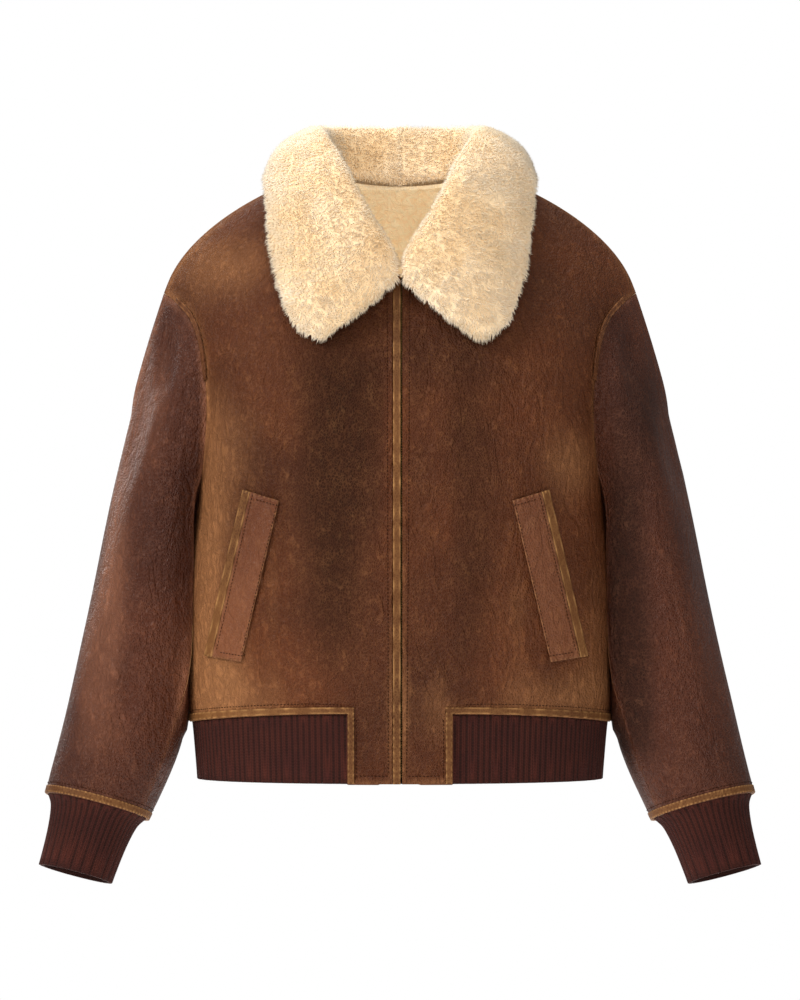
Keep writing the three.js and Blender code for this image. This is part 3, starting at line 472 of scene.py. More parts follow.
# %% Make the knit
KNIT_ROW = 1.5 * MM
KNIT_DEPTH = 0.7 * MM
FIBRE_SCALE = 900
LOOP_WANDER = 0.5
LOOP_SLANT = 0.5
SECOND_GROOVE = (0.80, 1.0)


def knit_material():
    made, tree, shader = new_material("rib_knit_yarn")
    place = object_place(tree)
    crest = painted(tree, "crest")
    height = node(tree, "SeparateXYZ", Vector=place).outputs["Z"]
    fibres = blotches(tree, place, FIBRE_SCALE, detail=3, roughness=0.7)
    shift = plus(tree, times(tree, fibres, LOOP_WANDER), times(tree, crest, LOOP_SLANT))
    turns = plus(tree, times(tree, height, 1 / KNIT_ROW), shift)
    wave = sums(tree, "SINE", times(tree, turns, 2 * math.pi))
    loops = plus(tree, times(tree, wave, 0.5), 0.5)
    clouds = mask(tree, blotches(tree, place, 30, detail=4), 0.35, 0.65)
    # The grooves get painted shade and the crests the yarn's own colour, both with a slow change of tone
    shaded_colour = mix(tree, clouds, colour("140705"), colour("1a0906"))
    raised = mix(tree, clouds, colour("391713"), colour("421c14"))
    yarn = mix(tree, mask(tree, crest, 0.1, 0.9), shaded_colour, raised)
    split = mask(tree, crest, *SECOND_GROOVE)
    # Painted shade in the second groove along the middle of each rib
    second_groove_shaded = mix(tree, times(tree, split, 0.6), yarn, shaded_colour)
    # A painted highlight on the rows of loops
    lit_loops = mix(tree, times(tree, loops, 0.32), second_groove_shaded, colour("55291f"))
    stitches = plus(tree, times(tree, loops, 0.7), times(tree, fibres, 0.5))
    bump(tree, shader, sums(tree, "SUBTRACT", stitches, split), KNIT_DEPTH)
    fill(tree, shader, Base_Color=lit_loops, Roughness=0.9, Specular_IOR_Level=0.15)
    return made


KNIT = knit_material()
print("knit:", KNIT.name)

# %% Make the thread and the zip
TWIST_SCALE = 1400
TWIST_DEPTH = 0.2 * MM
METAL_SPECULAR = 0.5
YARN_SPECULAR = 0.08


def thread_material(name, pale, dark, roughness, metallic=0.0):
    made, tree, shader = new_material(name)
    twist = blotches(tree, object_place(tree), TWIST_SCALE, detail=2)
    yarn = mix(tree, twist, colour(dark), colour(pale))
    bump(tree, shader, twist, TWIST_DEPTH)
    fill(tree, shader, Base_Color=yarn, Roughness=roughness, Metallic=metallic,
         Specular_IOR_Level=METAL_SPECULAR if metallic else YARN_SPECULAR)
    return made


THREAD = thread_material("waxed_thread", "3a1c0c", "1a0b04", 0.8)
ZIP_TAPE = thread_material("zip_tape_weave", "1c0f0a", "0e0706", 0.9)
ZIP_METAL = thread_material("zip_metal", "7a6238", "4a3a20", 0.4, metallic=1.0)
print("thread and zip:", THREAD.name, ZIP_TAPE.name, ZIP_METAL.name)

# %% [markdown]
# ## From plain solids to supple pieces
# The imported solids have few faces. A copy is welded, its triangles are joined back to quads, and
# Catmull-Clark subdivision turns the facets into the smooth bend of hide. Edges that are cut in the real
# thing get a crease, so that they stay crisp. The copy then stands in for the solid, which stays hidden
# in the frame for the physics.

# %% Refine a solid
WELD = 0.01 * MM
CUT_ANGLE = math.radians(50)
CUT_CREASE = 1.0
JOIN_ANGLE = math.radians(35)


def coarse_copy(node_name):
    source = bpy.data.objects[node_name]
    work = bmesh.new()
    work.from_mesh(source.data)
    work.transform(source.matrix_world)
    bmesh.ops.remove_doubles(work, verts=work.verts, dist=WELD)
    bmesh.ops.join_triangles(work, faces=work.faces, angle_face_threshold=JOIN_ANGLE,
                             angle_shape_threshold=JOIN_ANGLE)
    work.normal_update()
    return work


def crease_cuts(work):
    crease = work.edges.layers.float.get("crease_edge") or work.edges.layers.float.new("crease_edge")
    cuts = [e for e in work.edges if len(e.link_faces) == 2 and e.calc_face_angle() > CUT_ANGLE]
    for edge in cuts:
        edge[crease] = CUT_CREASE
    return cuts


def finish_mesh(work, name, levels, materials):
    mesh = bpy.data.meshes.new(name)
    for material in materials:
        mesh.materials.append(material)
    work.to_mesh(mesh)
    work.free()
    piece = placed(name, mesh)
    smooth = piece.modifiers.new("smooth", "SUBSURF")
    smooth.levels = levels
    smooth.render_levels = levels
    smooth.boundary_smooth = "PRESERVE_CORNERS"
    evaluated = piece.evaluated_get(bpy.context.evaluated_depsgraph_get())
    piece.data = bpy.data.meshes.new_from_object(evaluated)
    piece.data.name = name
    piece.modifiers.clear()
    piece.data.polygons.foreach_set("use_smooth", [True] * len(piece.data.polygons))
    piece.data.set_sharp_from_angle(angle=CUT_ANGLE)
    return piece


def stand_in(piece, node_name):
    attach(piece, "root")
    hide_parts(node_name)


# %% [markdown]
# ## Which side is out
# A wall of shearling has a hide side, a wool side and cut edges. Each face is told apart by the direction
# it looks in, measured from a line through the middle of the body or of the sleeve. A cut edge is a narrow
# face between two creased edges. At the neck the wool covers the cut edge, so there it counts as inside.

# %% Lines through the middle of the body and the sleeves
BODY_CORE = [(0, 0, -0.50), (0, 0, -0.22)]
SLEEVE_CORE = [(0.170, 0, -0.150), (0.215, 0.004, -0.26), (0.262, 0.0, -0.44), (0.302, -0.015, -0.60),
               (0.323, -0.024, -0.68)]
HEM_CORE = [(0, 0, -0.60), (0, 0, -0.48)]


def core_line(node_name):
    if node_name.startswith(("sleeve", "cuff")):
        side = 1 if node_name.endswith("left") else -1
        return np.array([(x * side, y, z) for x, y, z in SLEEVE_CORE])
    return np.array(HEM_CORE if node_name == "hem_rib" else BODY_CORE, dtype=float)


def nearest_on_line(points, line):
    """For each point: the closest place on a line of several parts, how far it is, and how far along"""
    best = np.full(len(points), 1e9)
    place = np.zeros_like(points)
    along = np.zeros(len(points))
    for k in range(len(line) - 1):
        run = line[k + 1] - line[k]
        share = np.clip(((points - line[k]) @ run) / (run @ run), 0, 1)
        spot = line[k] + share[:, None] * run
        far = np.linalg.norm(points - spot, axis=1)
        closer = far < best
        best[closer] = far[closer]
        place[closer] = spot[closer]
        along[closer] = (k + share[closer]) / (len(line) - 1)
    return place, best, along


OUTSIDE, INSIDE, CUT = 0, 1, 2
RIM_LOOKS_ASIDE = 0.6
NECK_HALF = 86 * MM
NECK_LOW = -76 * MM


def sort_faces(work, line, cuts):
    sharp = set(cuts)
    for face in work.faces:
        centre = face.calc_center_median()
        core, _, _ = nearest_on_line(np.array([centre]), line)
        out = (centre - Vector(core[0])).normalized()
        facing = face.normal.dot(out)
        loops = list(face.loops)
        opposite = len(loops) == 4 and any(
            loops[k].edge in sharp and loops[k + 2].edge in sharp for k in (0, 1))
        at_neck = abs(centre.x) < NECK_HALF and centre.z > NECK_LOW
        if opposite and abs(facing) < RIM_LOOKS_ASIDE:
            face.material_index = INSIDE if at_neck else CUT
        else:
            face.material_index = OUTSIDE if facing > 0 else INSIDE


# %% [markdown]
# ## Folds, ripples, rubbed places and painted light
# Hide this thick does not crumple: it rolls in long soft troughs. They are pressed in along lines
# on the front and the back, each with its own length, depth and width, and a low ripple runs under them.
# Both sides of the wall move together, so it keeps its thickness, and near a seam the push dies out, so
# that neighbouring panels still meet. Wear and painted light are painted on the points as a value from -1
# to 1. It is above zero along the cut edges and in ovals where hands, pockets and arms would rub the stain
# away, and in ovals of painted highlight down the sleeves and beside the closure. It is below zero in ovals
# of painted shade on the chest beside the closure and on the sleeves where they lie against the body.

# %% Lines of the folds, in millimetres across and up: side, line, depth, half width
FOLDS = [
    ("front", [(-236, -118), (-231, -150), (-236, -200)], 2.6, 8),
    ("front", [(-258, -150), (-262, -215), (-276, -290)], 1.8, 10),
    ("front", [(-336, -400), (-342, -470), (-348, -540)], 1.6, 9),
    ("front", [(-292, -360), (-296, -440), (-306, -520)], 1.4, 11),
    ("front", [(-262, -440), (-272, -500), (-290, -560)], 1.6, 9),
    ("front", [(232, -116), (228, -160), (236, -214)], 2.4, 8),
    ("front", [(262, -170), (270, -240), (284, -300)], 1.7, 10),
    ("front", [(300, -330), (306, -420), (318, -500)], 1.5, 11),
    ("front", [(338, -420), (344, -480), (350, -545)], 1.4, 9),
    ("front", [(-118, -184), (-112, -226), (-116, -268)], 1.3, 6),
    ("front", [(-156, -205), (-154, -245), (-160, -280)], 1.2, 6),
    ("front", [(-190, -200), (-192, -270), (-202, -330)], 1.5, 10),
    ("front", [(68, -366), (78, -382), (90, -398)], 1.3, 4),
    ("front", [(34, -428), (44, -450), (50, -478)], 1.0, 6),
    ("front", [(-60, -300), (-52, -350), (-58, -400)], 1.0, 12),
    ("front", [(62, -190), (58, -250), (66, -310)], 1.0, 12),
    ("front", [(120, -120), (112, -170), (116, -230)], 1.0, 12),
    ("front", [(190, -210), (194, -270), (204, -340)], 1.4, 10),
    ("back", [(-60, -70), (-66, -150), (-58, -230)], 1.4, 14),
    ("back", [(74, -90), (70, -160), (80, -220)], 1.2, 12),
    ("back", [(-130, -160), (-126, -230), (-134, -300)], 1.5, 12),
    ("back", [(136, -150), (130, -240), (138, -330)], 1.4, 13),
    ("back", [(-20, -330), (-14, -400), (-22, -470)], 1.1, 14),
    ("back", [(84, -380), (90, -430), (86, -480)], 1.0, 10),
    ("back", [(-180, -220), (-186, -300), (-192, -380)], 1.4, 10),
    ("back", [(-250, -170), (-256, -240), (-268, -310)], 1.8, 10),
    ("back", [(-290, -380), (-298, -450), (-312, -530)], 1.5, 10),
    ("back", [(246, -160), (256, -250), (266, -320)], 1.7, 11),
    ("back", [(296, -400), (306, -470), (320, -550)], 1.5, 10),
    ("back", [(330, -330), (338, -410), (344, -480)], 1.2, 9),
]
FOLD_LIP = 0.35
RIPPLE = 0.9 * MM
RIPPLE_SCALE = 9.0
SEAM_CALM = 22 * MM

# %% Ovals of wear, painted highlight and painted shade, in millimetres: side, across, up, half width, half height, strength
WEAR_AND_PAINTED_LIGHT_OVALS = [
    ("front", -192, -340, 26, 150, 0.86),
    ("front", -185, -470, 40, 60, 0.75),
    ("front", -130, -490, 80, 26, 0.36),
    ("front", 150, -490, 90, 30, 0.60),
    ("front", 196, -430, 30, 90, 0.45),
    ("front", 168, -260, 36, 40, 0.60),
    ("front", 112, -400, 18, 70, 0.55),
    ("front", -122, -380, 10, 80, 0.35),
    # The next four ovals are painted shade on the chest beside the closure
    ("front", -66, -225, 50, 150, -0.85),
    ("front", -64, -400, 34, 130, -0.50),
    ("front", 70, -225, 46, 150, -0.30),
    ("front", 60, -400, 40, 120, -0.25),
    ("front", 30, -500, 40, 40, 0.35),
    ("front", -150, -230, 60, 60, 0.30),
    ("front", -175, -62, 70, 40, 0.66),
    ("front", 190, -70, 50, 26, 0.15),
    # The next two ovals are painted highlight streaks down the left sleeve
    ("front", -286, -330, 16, 200, 0.40),
    ("front", -312, -450, 16, 100, 0.40),
    ("front", -270, -540, 60, 40, 0.15),
    ("front", 290, -560, 60, 30, 0.22),
    # The next oval is a painted highlight down the right sleeve
    ("front", 270, -360, 14, 120, 0.12),
    # The next two ovals are painted shade on the chest
    ("front", 0, -190, 70, 90, -0.30),
    ("front", 80, -300, 60, 190, -0.22),
    # The next oval is a painted highlight beside the closure
    ("front", 38, -340, 15, 190, 0.45),
    ("front", 120, -250, 40, 70, 0.22),
    # The next two ovals are painted highlights on the left sleeve
    ("front", -292, -370, 34, 150, 0.36),
    ("front", -252, -190, 34, 90, 0.40),
    ("front", -150, -300, 40, 90, 0.25),
    ("back", 0, -480, 180, 30, 0.55),
    ("back", -150, -330, 40, 120, 0.40),
    ("back", 150, -330, 40, 120, 0.40),
    ("back", 0, -60, 150, 50, 0.30),
    ("back", -300, -440, 20, 150, 0.40),
    ("back", 300, -440, 20, 150, 0.40),
]
# Painted shadow on the inner side of each sleeve, where it lies against the body: side, across, up, half
# width, half height, strength
SLEEVE_PAINTED_SHADOWS = [
    ("front", 220, -390, 24, 190, -1.30),
    ("front", 236, -500, 22, 80, -0.70),
    ("front", 250, -200, 18, 70, -0.50),
    ("front", -212, -230, 15, 90, -0.50),
    ("front", -208, -360, 12, 120, -0.55),
    ("front", -232, -560, 26, 70, -0.35),
]
SEAM_OVERLAP = 0.7 * MM
CLOSURE_ZONE = 20 * MM
EDGE_RUB_REACH = 7 * MM
EDGE_RUB = 0.55
print("folds:", len(FOLDS), "ovals of wear and painted light:", len(WEAR_AND_PAINTED_LIGHT_OVALS) + len(SLEEVE_PAINTED_SHADOWS))


# %% Press the folds and paint the rubbed places
FACING_GAIN = 2.5
LIP_PLACE = 1.9
LIP_WIDTH = 0.8
FOLD_ENDS = (0.02, 0.98)
FOLD_END_GAIN = 1.6
CALM_CURVE = 1.5


def points_of(mesh):
    flat = np.empty(len(mesh.vertices) * 3)
    mesh.vertices.foreach_get("co", flat)
    return flat.reshape(-1, 3)


def normals_of(mesh):
    flat = np.empty(len(mesh.vertices) * 3)
    mesh.vertex_normals.foreach_get("vector", flat)
    return flat.reshape(-1, 3)


def set_points(mesh, points):
    mesh.vertices.foreach_set("co", points.ravel())
    mesh.update()


def write_value(mesh, name, values):
    layer = mesh.attributes.new(name, "FLOAT", "POINT")
    layer.data.foreach_set("value", np.asarray(values, dtype=np.float32))


def cut_distance(points, tree):
    return np.array([tree.find(p)[2] for p in points])


def facing_share(side, outward):
    """1 where the surface looks to that side, fading to 0 where it turns away"""
    sign = -1 if side == "front" else 1
    return np.clip(outward[:, 1] * sign * FACING_GAIN, 0, 1)


def fold_push(points, outward):
    """A trough along each line with a low lip beside it, dying out at both ends"""
    push = np.zeros(len(points))
    flat = points[:, [0, 2]]
    for side, line, depth, width in FOLDS:
        _, far, along = nearest_on_line(flat, np.array(line) * MM)
        reach = far / (width * MM)
        lip = FOLD_LIP * np.exp(-((reach - LIP_PLACE) / LIP_WIDTH) ** 2)
        profile = -np.exp(-reach ** 2) + lip
        ends = np.clip(np.sin(math.pi * np.clip(along, *FOLD_ENDS)) * FOLD_END_GAIN, 0, 1)
        push += profile * ends * depth * MM * facing_share(side, outward)
    return push


def ripple_push(points):
    return np.array([noise.noise(Vector(p) * RIPPLE_SCALE) for p in points]) * RIPPLE


def wear_and_light_value(points, outward, far_from_cut, patches):
    wear_and_light = EDGE_RUB * np.exp(-(far_from_cut / EDGE_RUB_REACH) ** 2)
    for side, across, up, wide, tall, strength in patches:
        dx = (points[:, 0] - across * MM) / (wide * MM)
        dz = (points[:, 2] - up * MM) / (tall * MM)
        wear_and_light += strength * np.exp(-(dx ** 2 + dz ** 2)) * facing_share(side, outward)
    return np.clip(wear_and_light, -1, 1)


def close_seams(piece):
    """Let the cut edges of neighbouring panels meet: each edge grows by a hair along its own direction"""
    mesh = piece.data
    push = np.zeros((len(mesh.vertices), 3))
    for face in mesh.polygons:
        if face.material_index == CUT:
            push[list(face.vertices)] += np.array(face.normal)
    length = np.linalg.norm(push, axis=1)
    points = points_of(mesh)
    moved = (length > 0) & (np.abs(points[:, 0]) > CLOSURE_ZONE)
    points[moved] += push[moved] / length[moved, None] * SEAM_OVERLAP
    set_points(mesh, points)


def shape_panel(piece, line, tree):
    points = points_of(piece.data)
    normals = normals_of(piece.data)
    core, _, _ = nearest_on_line(points, line)
    side = np.sign(np.einsum("ij,ij->i", normals, points - core))
    outward = normals * side[:, None]
    far = cut_distance(points, tree)
    calm = np.clip(far / SEAM_CALM, 0, 1) ** CALM_CURVE
    push = (fold_push(points, outward) + ripple_push(points)) * calm
    set_points(piece.data, points + outward * push[:, None])
    patches = WEAR_AND_PAINTED_LIGHT_OVALS + SLEEVE_PAINTED_SHADOWS if piece.name.startswith("sleeve") else WEAR_AND_PAINTED_LIGHT_OVALS
    write_value(piece.data, "wear_and_light", wear_and_light_value(points, outward, far, patches))


# %% [markdown]
# ## The hide panels
# Two fronts, one back and two-piece sleeves, the pieces that a maker would cut. Every one becomes a supple
# wall with hide outside, fleece inside and raw cut edges.

# %% Make the panels
CUT_SAMPLE = 4 * MM
PANEL_LEVELS = 3
BODY_PANELS = ("front_left", "front_right", "back")
SLEEVE_PANELS = ("sleeve_upper_left", "sleeve_upper_right", "sleeve_under_left", "sleeve_under_right")


def cut_tree(cuts):
    """A tree of places along the cut edges, to ask how far a point is from the nearest one"""
    spots = []
    for edge in cuts:
        start, end = edge.verts[0].co, edge.verts[1].co
        count = max(1, int((end - start).length / CUT_SAMPLE))
        spots += [start.lerp(end, k / count) for k in range(count + 1)]
    tree = KDTree(len(spots))
    for k, spot in enumerate(spots):
        tree.insert(spot, k)
    tree.balance()
    return tree


def half_surface(piece):
    return sum(p.area for p in piece.data.polygons) / 2


def make_panel(node_name, hide):
    work = coarse_copy(node_name)
    cuts = crease_cuts(work)
    line = core_line(node_name)
    sort_faces(work, line, cuts)
    tree = cut_tree(cuts)
    panel = finish_mesh(work, node_name + "_hide", PANEL_LEVELS, [hide, FLEECE, EDGE_HIDE])
    shape_panel(panel, line, tree)
    close_seams(panel)
    stand_in(panel, node_name)
    print(panel.name, len(panel.data.polygons), "faces, half surface %.4f" % half_surface(panel))
    return panel


panels = {name: make_panel(name, BODY_HIDE) for name in BODY_PANELS}
panels.update({name: make_panel(name, SLEEVE_HIDE) for name in SLEEVE_PANELS})

# %% [markdown]
# An arm at rest brings the sleeve against the body. The solids keep a clear two millimetres between them,
# so the inner side of each sleeve is let out by a little more than that where the body is near.

# %% Let the sleeves touch the body
SLEEVE_GAP = 2.6 * MM
NEAR_BODY = 10 * MM
CLEAR_OF_BODY = 17 * MM
LET_OUT_BELOW = -0.150
LET_OUT_FADE = 0.060


def joined_tree(pieces):
    """One tree over the faces of all the pieces, to find the nearest place on them or what a ray hits"""
    work = bmesh.new()
    for piece in pieces:
        work.from_mesh(piece.data)
    tree = BVHTree.FromBMesh(work)
    work.free()
    return tree


def let_out(sleeve, body):
    points = points_of(sleeve.data)
    far = np.array([body.find_nearest(Vector(p))[3] for p in points])
    share = np.clip((CLEAR_OF_BODY - far) / (CLEAR_OF_BODY - NEAR_BODY), 0, 1)
    share *= np.clip((LET_OUT_BELOW - points[:, 2]) / LET_OUT_FADE, 0, 1)
    points[:, 0] -= np.sign(points[:, 0]) * SLEEVE_GAP * share
    set_points(sleeve.data, points)
    print(sleeve.name, "points let out:", int((share > 0).sum()))


body_tree = joined_tree([panels[name] for name in BODY_PANELS])
for name in SLEEVE_PANELS:
    let_out(panels[name], body_tree)

# %% [markdown]
# ## Bands, tapes and welts
# The edges of the real jacket are strips of hide with the raw tan side showing, sewn on over the seams.
# Three rounds of subdivision turn their corners soft. A sewn strip beds down in the hide, so the tapes of
# the cuffs and the hem are sunk a little towards the middle of the jacket. Along its cut edges a strip is
# rubbed pale. The tapes of the armholes are stained like the body, and fade into it on the way down.

# %% Make the bands, tapes and welts
STRIPS = {
    "front_band": EDGE_HIDE,
    "hem_tape_front_left": EDGE_HIDE,
    "hem_tape_front_right": EDGE_HIDE,
    "hem_tape_back": EDGE_HIDE,
    "armhole_tape_front_left": BODY_HIDE,
    "armhole_tape_front_right": BODY_HIDE,
    "armhole_tape_back_left": BODY_HIDE,
    "armhole_tape_back_right": BODY_HIDE,
    "cuff_tape_left": EDGE_HIDE,
    "cuff_tape_right": EDGE_HIDE,
    "welt_strip_left": EDGE_HIDE,
    "welt_strip_right": EDGE_HIDE,
    "welt_left": WELT_HIDE,
    "welt_right": WELT_HIDE,
}
STRIP_LEVELS = 3
STRIP_SINK = {"cuff_tape": 1.3 * MM, "hem_tape": 0.8 * MM}
STRIP_RUB = 0.75
STRIP_RUB_REACH = 1.5 * MM
STRIP_RUB_LEAST = 0.1
TAPE_RUB_MORE = 0.25
TAPE_FADES_AT = -155 * MM
TAPE_FADE = 50 * MM
TAPE_LEAST = 0.38


def sink_strip(strip, line, depth):
    points = points_of(strip.data)
    core, _, _ = nearest_on_line(points, line)
    inward = (core - points) / np.linalg.norm(core - points, axis=1)[:, None]
    set_points(strip.data, points + inward * depth)


def strip_rub(strip, tree, fades):
    points = points_of(strip.data)
    worn = STRIP_RUB * np.exp(-(cut_distance(points, tree) / STRIP_RUB_REACH) ** 2) + STRIP_RUB_LEAST
    if fades:
        height = np.clip((points[:, 2] - TAPE_FADES_AT) / TAPE_FADE, 0, 1)
        worn = np.maximum((worn + TAPE_RUB_MORE) * height, TAPE_LEAST)
    return worn


strips = {}
for node_name, hide in STRIPS.items():
    work = coarse_copy(node_name)
    tree = cut_tree(crease_cuts(work))
    strip = finish_mesh(work, node_name + "_strip", STRIP_LEVELS, [hide])
    for start, depth in STRIP_SINK.items():
        if node_name.startswith(start):
            sink_strip(strip, core_line(node_name), depth)
    write_value(strip.data, "wear_and_light", strip_rub(strip, tree, node_name.startswith("armhole_tape")))
    stand_in(strip, node_name)
    strips[node_name] = strip
print("strips:", len(strips))

# %% [markdown]
# ## The knitted ribs
# A rib is a column of knit that stands out between two grooves. The solids already carry one column for
# every rib. The points on a crest are lifted a little and those in a groove pushed in before the mesh is
# subdivided, which rounds each rib, and the crest value goes to the material, which paints shade into the
# grooves.

# %% Make the ribs
CREST_LIFT = 0.35 * MM
GROOVE_SINK = 1.0 * MM
RIB_LEVELS = 2
ROW_SLOPE = 0.55
RIB_REACH = 5 * MM
OUTER_FACING = 0.2


def row_neighbours(vert):
    """The neighbours of a point in its own row of the knit, at most one rib away"""
    beside = []
    for edge in vert.link_edges:
        spot = edge.other_vert(vert).co
        way = spot - vert.co
        if abs(way.normalized().z) < ROW_SLOPE and way.length < RIB_REACH:
            beside.append(spot)
    return beside


def mark_ribs(work, line):
    crest = work.verts.layers.float.new("crest")
    points = np.array([v.co for v in work.verts])
    core, _, _ = nearest_on_line(points, line)
    out = points - core
    out /= np.linalg.norm(out, axis=1)[:, None]
    shifts = []
    work.verts.index_update()
    for vert in work.verts:
        outward = Vector(out[vert.index])
        beside = row_neighbours(vert)
        if len(beside) < 2 or vert.normal.dot(outward) < OUTER_FACING:
            shifts.append(0)
            continue
        middle = sum(beside, Vector()) / len(beside)
        standing = (vert.co - middle).dot(outward)
        vert[crest] = 1.0 if standing > 0 else 0.0
        shifts.append(CREST_LIFT if standing > 0 else -GROOVE_SINK)
    for vert, shift in zip(work.verts, shifts):
        vert.co += Vector(out[vert.index]) * shift
    return sum(1 for s in shifts if s > 0)


for node_name in ("hem_rib", "cuff_left", "cuff_right"):
    work = coarse_copy(node_name)
    crests = mark_ribs(work, core_line(node_name))
    crease_cuts(work)
    knit = finish_mesh(work, node_name + "_knit", RIB_LEVELS, [KNIT])
    stand_in(knit, node_name)
    print(knit.name, "crest points", crests, "half surface %.4f" % half_surface(knit))

# %% [markdown]
# ## The fur collar
# The wool on the collar is long. Its tips make the surface, and the light sinks between them, which is why
# it looks golden in the hollows and cream on top. Two things are made: a body of dense wool a few
# millimetres below the surface, and thousands of thin curved locks that grow from it. Neighbouring locks
# lean together in tufts, as combed wool does. A faint glow stands in for light that passes through wool.

# %% Mix the colours of the wool
WOOL_CLOUD_SCALE = 16
WOOL_DEPTH = 0.4 * MM
WOOL_GLOW = 0.12
TUFT_TONE = 0.35


def wool_material():
    made, tree, shader = new_material("cream_wool")
    place = object_place(tree)
    clouds = mask(tree, blotches(tree, place, WOOL_CLOUD_SCALE, detail=3), 0.35, 0.65)
    golden = mix(tree, clouds, colour("dcba8a"), colour("e4c9a0"))
    cream = mix(tree, clouds, colour("ebd6b2"), colour("f1e1c8"))
    grown = mix(tree, mask(tree, painted(tree, "tip"), 0.0, 0.9), golden, cream)
    toned = mix(tree, times(tree, painted(tree, "tuft"), TUFT_TONE), grown, colour("faeed8"))
    bump(tree, shader, blotches(tree, place, FIBRE_SCALE, detail=3, roughness=0.7), WOOL_DEPTH)
    fill(tree, shader, Base_Color=toned, Roughness=0.85, Sheen_Weight=0.35, Specular_IOR_Level=0.25,
         Emission_Color=colour("e8c394"), Emission_Strength=WOOL_GLOW)
    return made


WOOL = wool_material()
print("wool:", WOOL.name)

# %% [markdown]
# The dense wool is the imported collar, sunk below its surface to leave room for the locks. Near the neck it
# is drawn to the rim of the panels instead, so that no dark gap opens between the collar and the lining.

# %% Make the dense wool
WOOL_SINK = 2.4 * MM
COLLAR_LEVELS = 2
CENTRE_BACK = 1 * MM
RIM_REACH = 9 * MM
RIM_PULL = 0.6
DENSE_TIP = 0.30


def neck_rim():
    """A tree of places along the neck edges of the three body panels"""
    works = [coarse_copy(name) for name in BODY_PANELS]
    rim = []
    for work in works:
        for edge in crease_cuts(work):
            middle = edge.verts[0].co.lerp(edge.verts[1].co, 0.5)
            if abs(middle.x) < NECK_HALF and middle.z > NECK_LOW:
                rim.append(edge)
    tree = cut_tree(rim)
    print("edges on the neck rim:", len(rim))
    for work in works:
        work.free()
    return tree


def crease_back_seam(work):
    crease = work.edges.layers.float.new("crease_edge")
    for edge in work.edges:
        if all(abs(v.co.x) < CENTRE_BACK and v.co.y > 0 for v in edge.verts):
            edge[crease] = CUT_CREASE


def settle_wool(wool, rim_tree):
    skin = points_of(wool.data)
    near_rim = np.clip(cut_distance(skin, rim_tree) / RIM_REACH, 0, 1)[:, None]
    at_rim = np.array([rim_tree.find(p)[0] for p in skin])
    grow_from = skin - normals_of(wool.data) * WOOL_SINK * near_rim
    grow_from += (at_rim - skin) * RIM_PULL * (1 - near_rim)
    at_back_seam = (np.abs(skin[:, 0]) < CENTRE_BACK) & (skin[:, 1] > 0)
    grow_from[at_back_seam, 0] = 0
    set_points(wool.data, grow_from)
    write_value(wool.data, "tip", np.full(len(skin), DENSE_TIP))
    write_value(wool.data, "tuft", np.zeros(len(skin)))


neck_tree = neck_rim()
collars = {}
for node_name in ("collar_left", "collar_right"):
    work = coarse_copy(node_name)
    crease_back_seam(work)
    wool = finish_mesh(work, node_name + "_wool", COLLAR_LEVELS, [WOOL])
    stand_in(wool, node_name)
    settle_wool(wool, neck_tree)
    collars[node_name] = wool
    print(wool.name, "half surface %.4f" % half_surface(wool))

# %% [markdown]
# Each lock of wool is a thin three-sided spike. Its root sits in the dense wool. It stands up along the
# surface's own direction and leans the way the wool was combed: down the falls of the collar and out
# over their edges. A slow swirl turns the lean from place to place, and the tip is pulled towards the
# middle of its tuft. Near the outer edge the locks are longer and stand in stronger tufts, which gives the
# ragged fringe. No lock grows where another piece covers the wool.

# %% Choose where the locks grow
LOCKS_A_SIDE = 50000
LOCK_SEED = 11
BLOCKED_WITHIN = 7 * MM
draw = np.random.default_rng(LOCK_SEED)


def surface_samples(mesh, count):
    """Places spread evenly over a mesh, and the direction that the surface looks in at each"""
    mesh.calc_loop_triangles()
    corners = np.empty(len(mesh.loop_triangles) * 3, dtype=np.int64)
    mesh.loop_triangles.foreach_get("vertices", corners)
    corners = corners.reshape(-1, 3)
    points, normals = points_of(mesh), normals_of(mesh)
    a, b, c = (points[corners[:, k]] for k in range(3))
    area = np.linalg.norm(np.cross(b - a, c - a), axis=1)
    chosen = draw.choice(len(corners), size=count, p=area / area.sum())
    u, v = draw.random(count), draw.random(count)
    over = u + v > 1
    u[over], v[over] = 1 - u[over], 1 - v[over]
    w = 1 - u - v
    place = a[chosen] * w[:, None] + b[chosen] * u[:, None] + c[chosen] * v[:, None]
    n = sum(normals[corners[chosen, k]] * s[:, None] for k, s in enumerate((w, u, v)))
    return place, n / np.linalg.norm(n, axis=1)[:, None]


def open_places(place, normal, blockers):
    keep = []
    for p, n in zip(place, normal):
        start = Vector(p) + Vector(n) * (WOOL_SINK * 0.5)
        keep.append(all(tree.ray_cast(start, Vector(n), BLOCKED_WITHIN)[0] is None for tree in blockers))
    return np.array(keep)


# %% Comb the locks
COMB_ASIDE = 0.35
COMB_DOWN = 0.8
SWIRL = 1.1
SWIRL_SCALE = 28.0
FRINGE_REACH = 9 * MM
FALL_EDGE = [(4, -116, -86), (40, -118, -116), (74, -119, -140), (98, -113, -130), (114, -93, -94),
             (126, -59, -42), (131, -20, 14), (126, 44, 18), (80, 100, 0), (0, 112, -8)]
# The swirl comes from a noise that starts from the clock unless it gets a seed
noise.seed_set(LOCK_SEED)


def unit(vectors):
    return vectors / np.maximum(np.linalg.norm(vectors, axis=1), 1e-9)[:, None]


def combed(place, normal):
    """The way each lock leans, along the surface"""
    side = np.sign(place[:, 0])
    down = np.stack([side * COMB_ASIDE, np.zeros(len(place)), -np.ones(len(place))], axis=1)
    swirl = np.array([noise.noise_vector(Vector(p) * SWIRL_SCALE) for p in place])
    lean = down * COMB_DOWN + swirl * SWIRL
    lean -= normal * np.einsum("ij,ij->i", lean, normal)[:, None]
    return lean


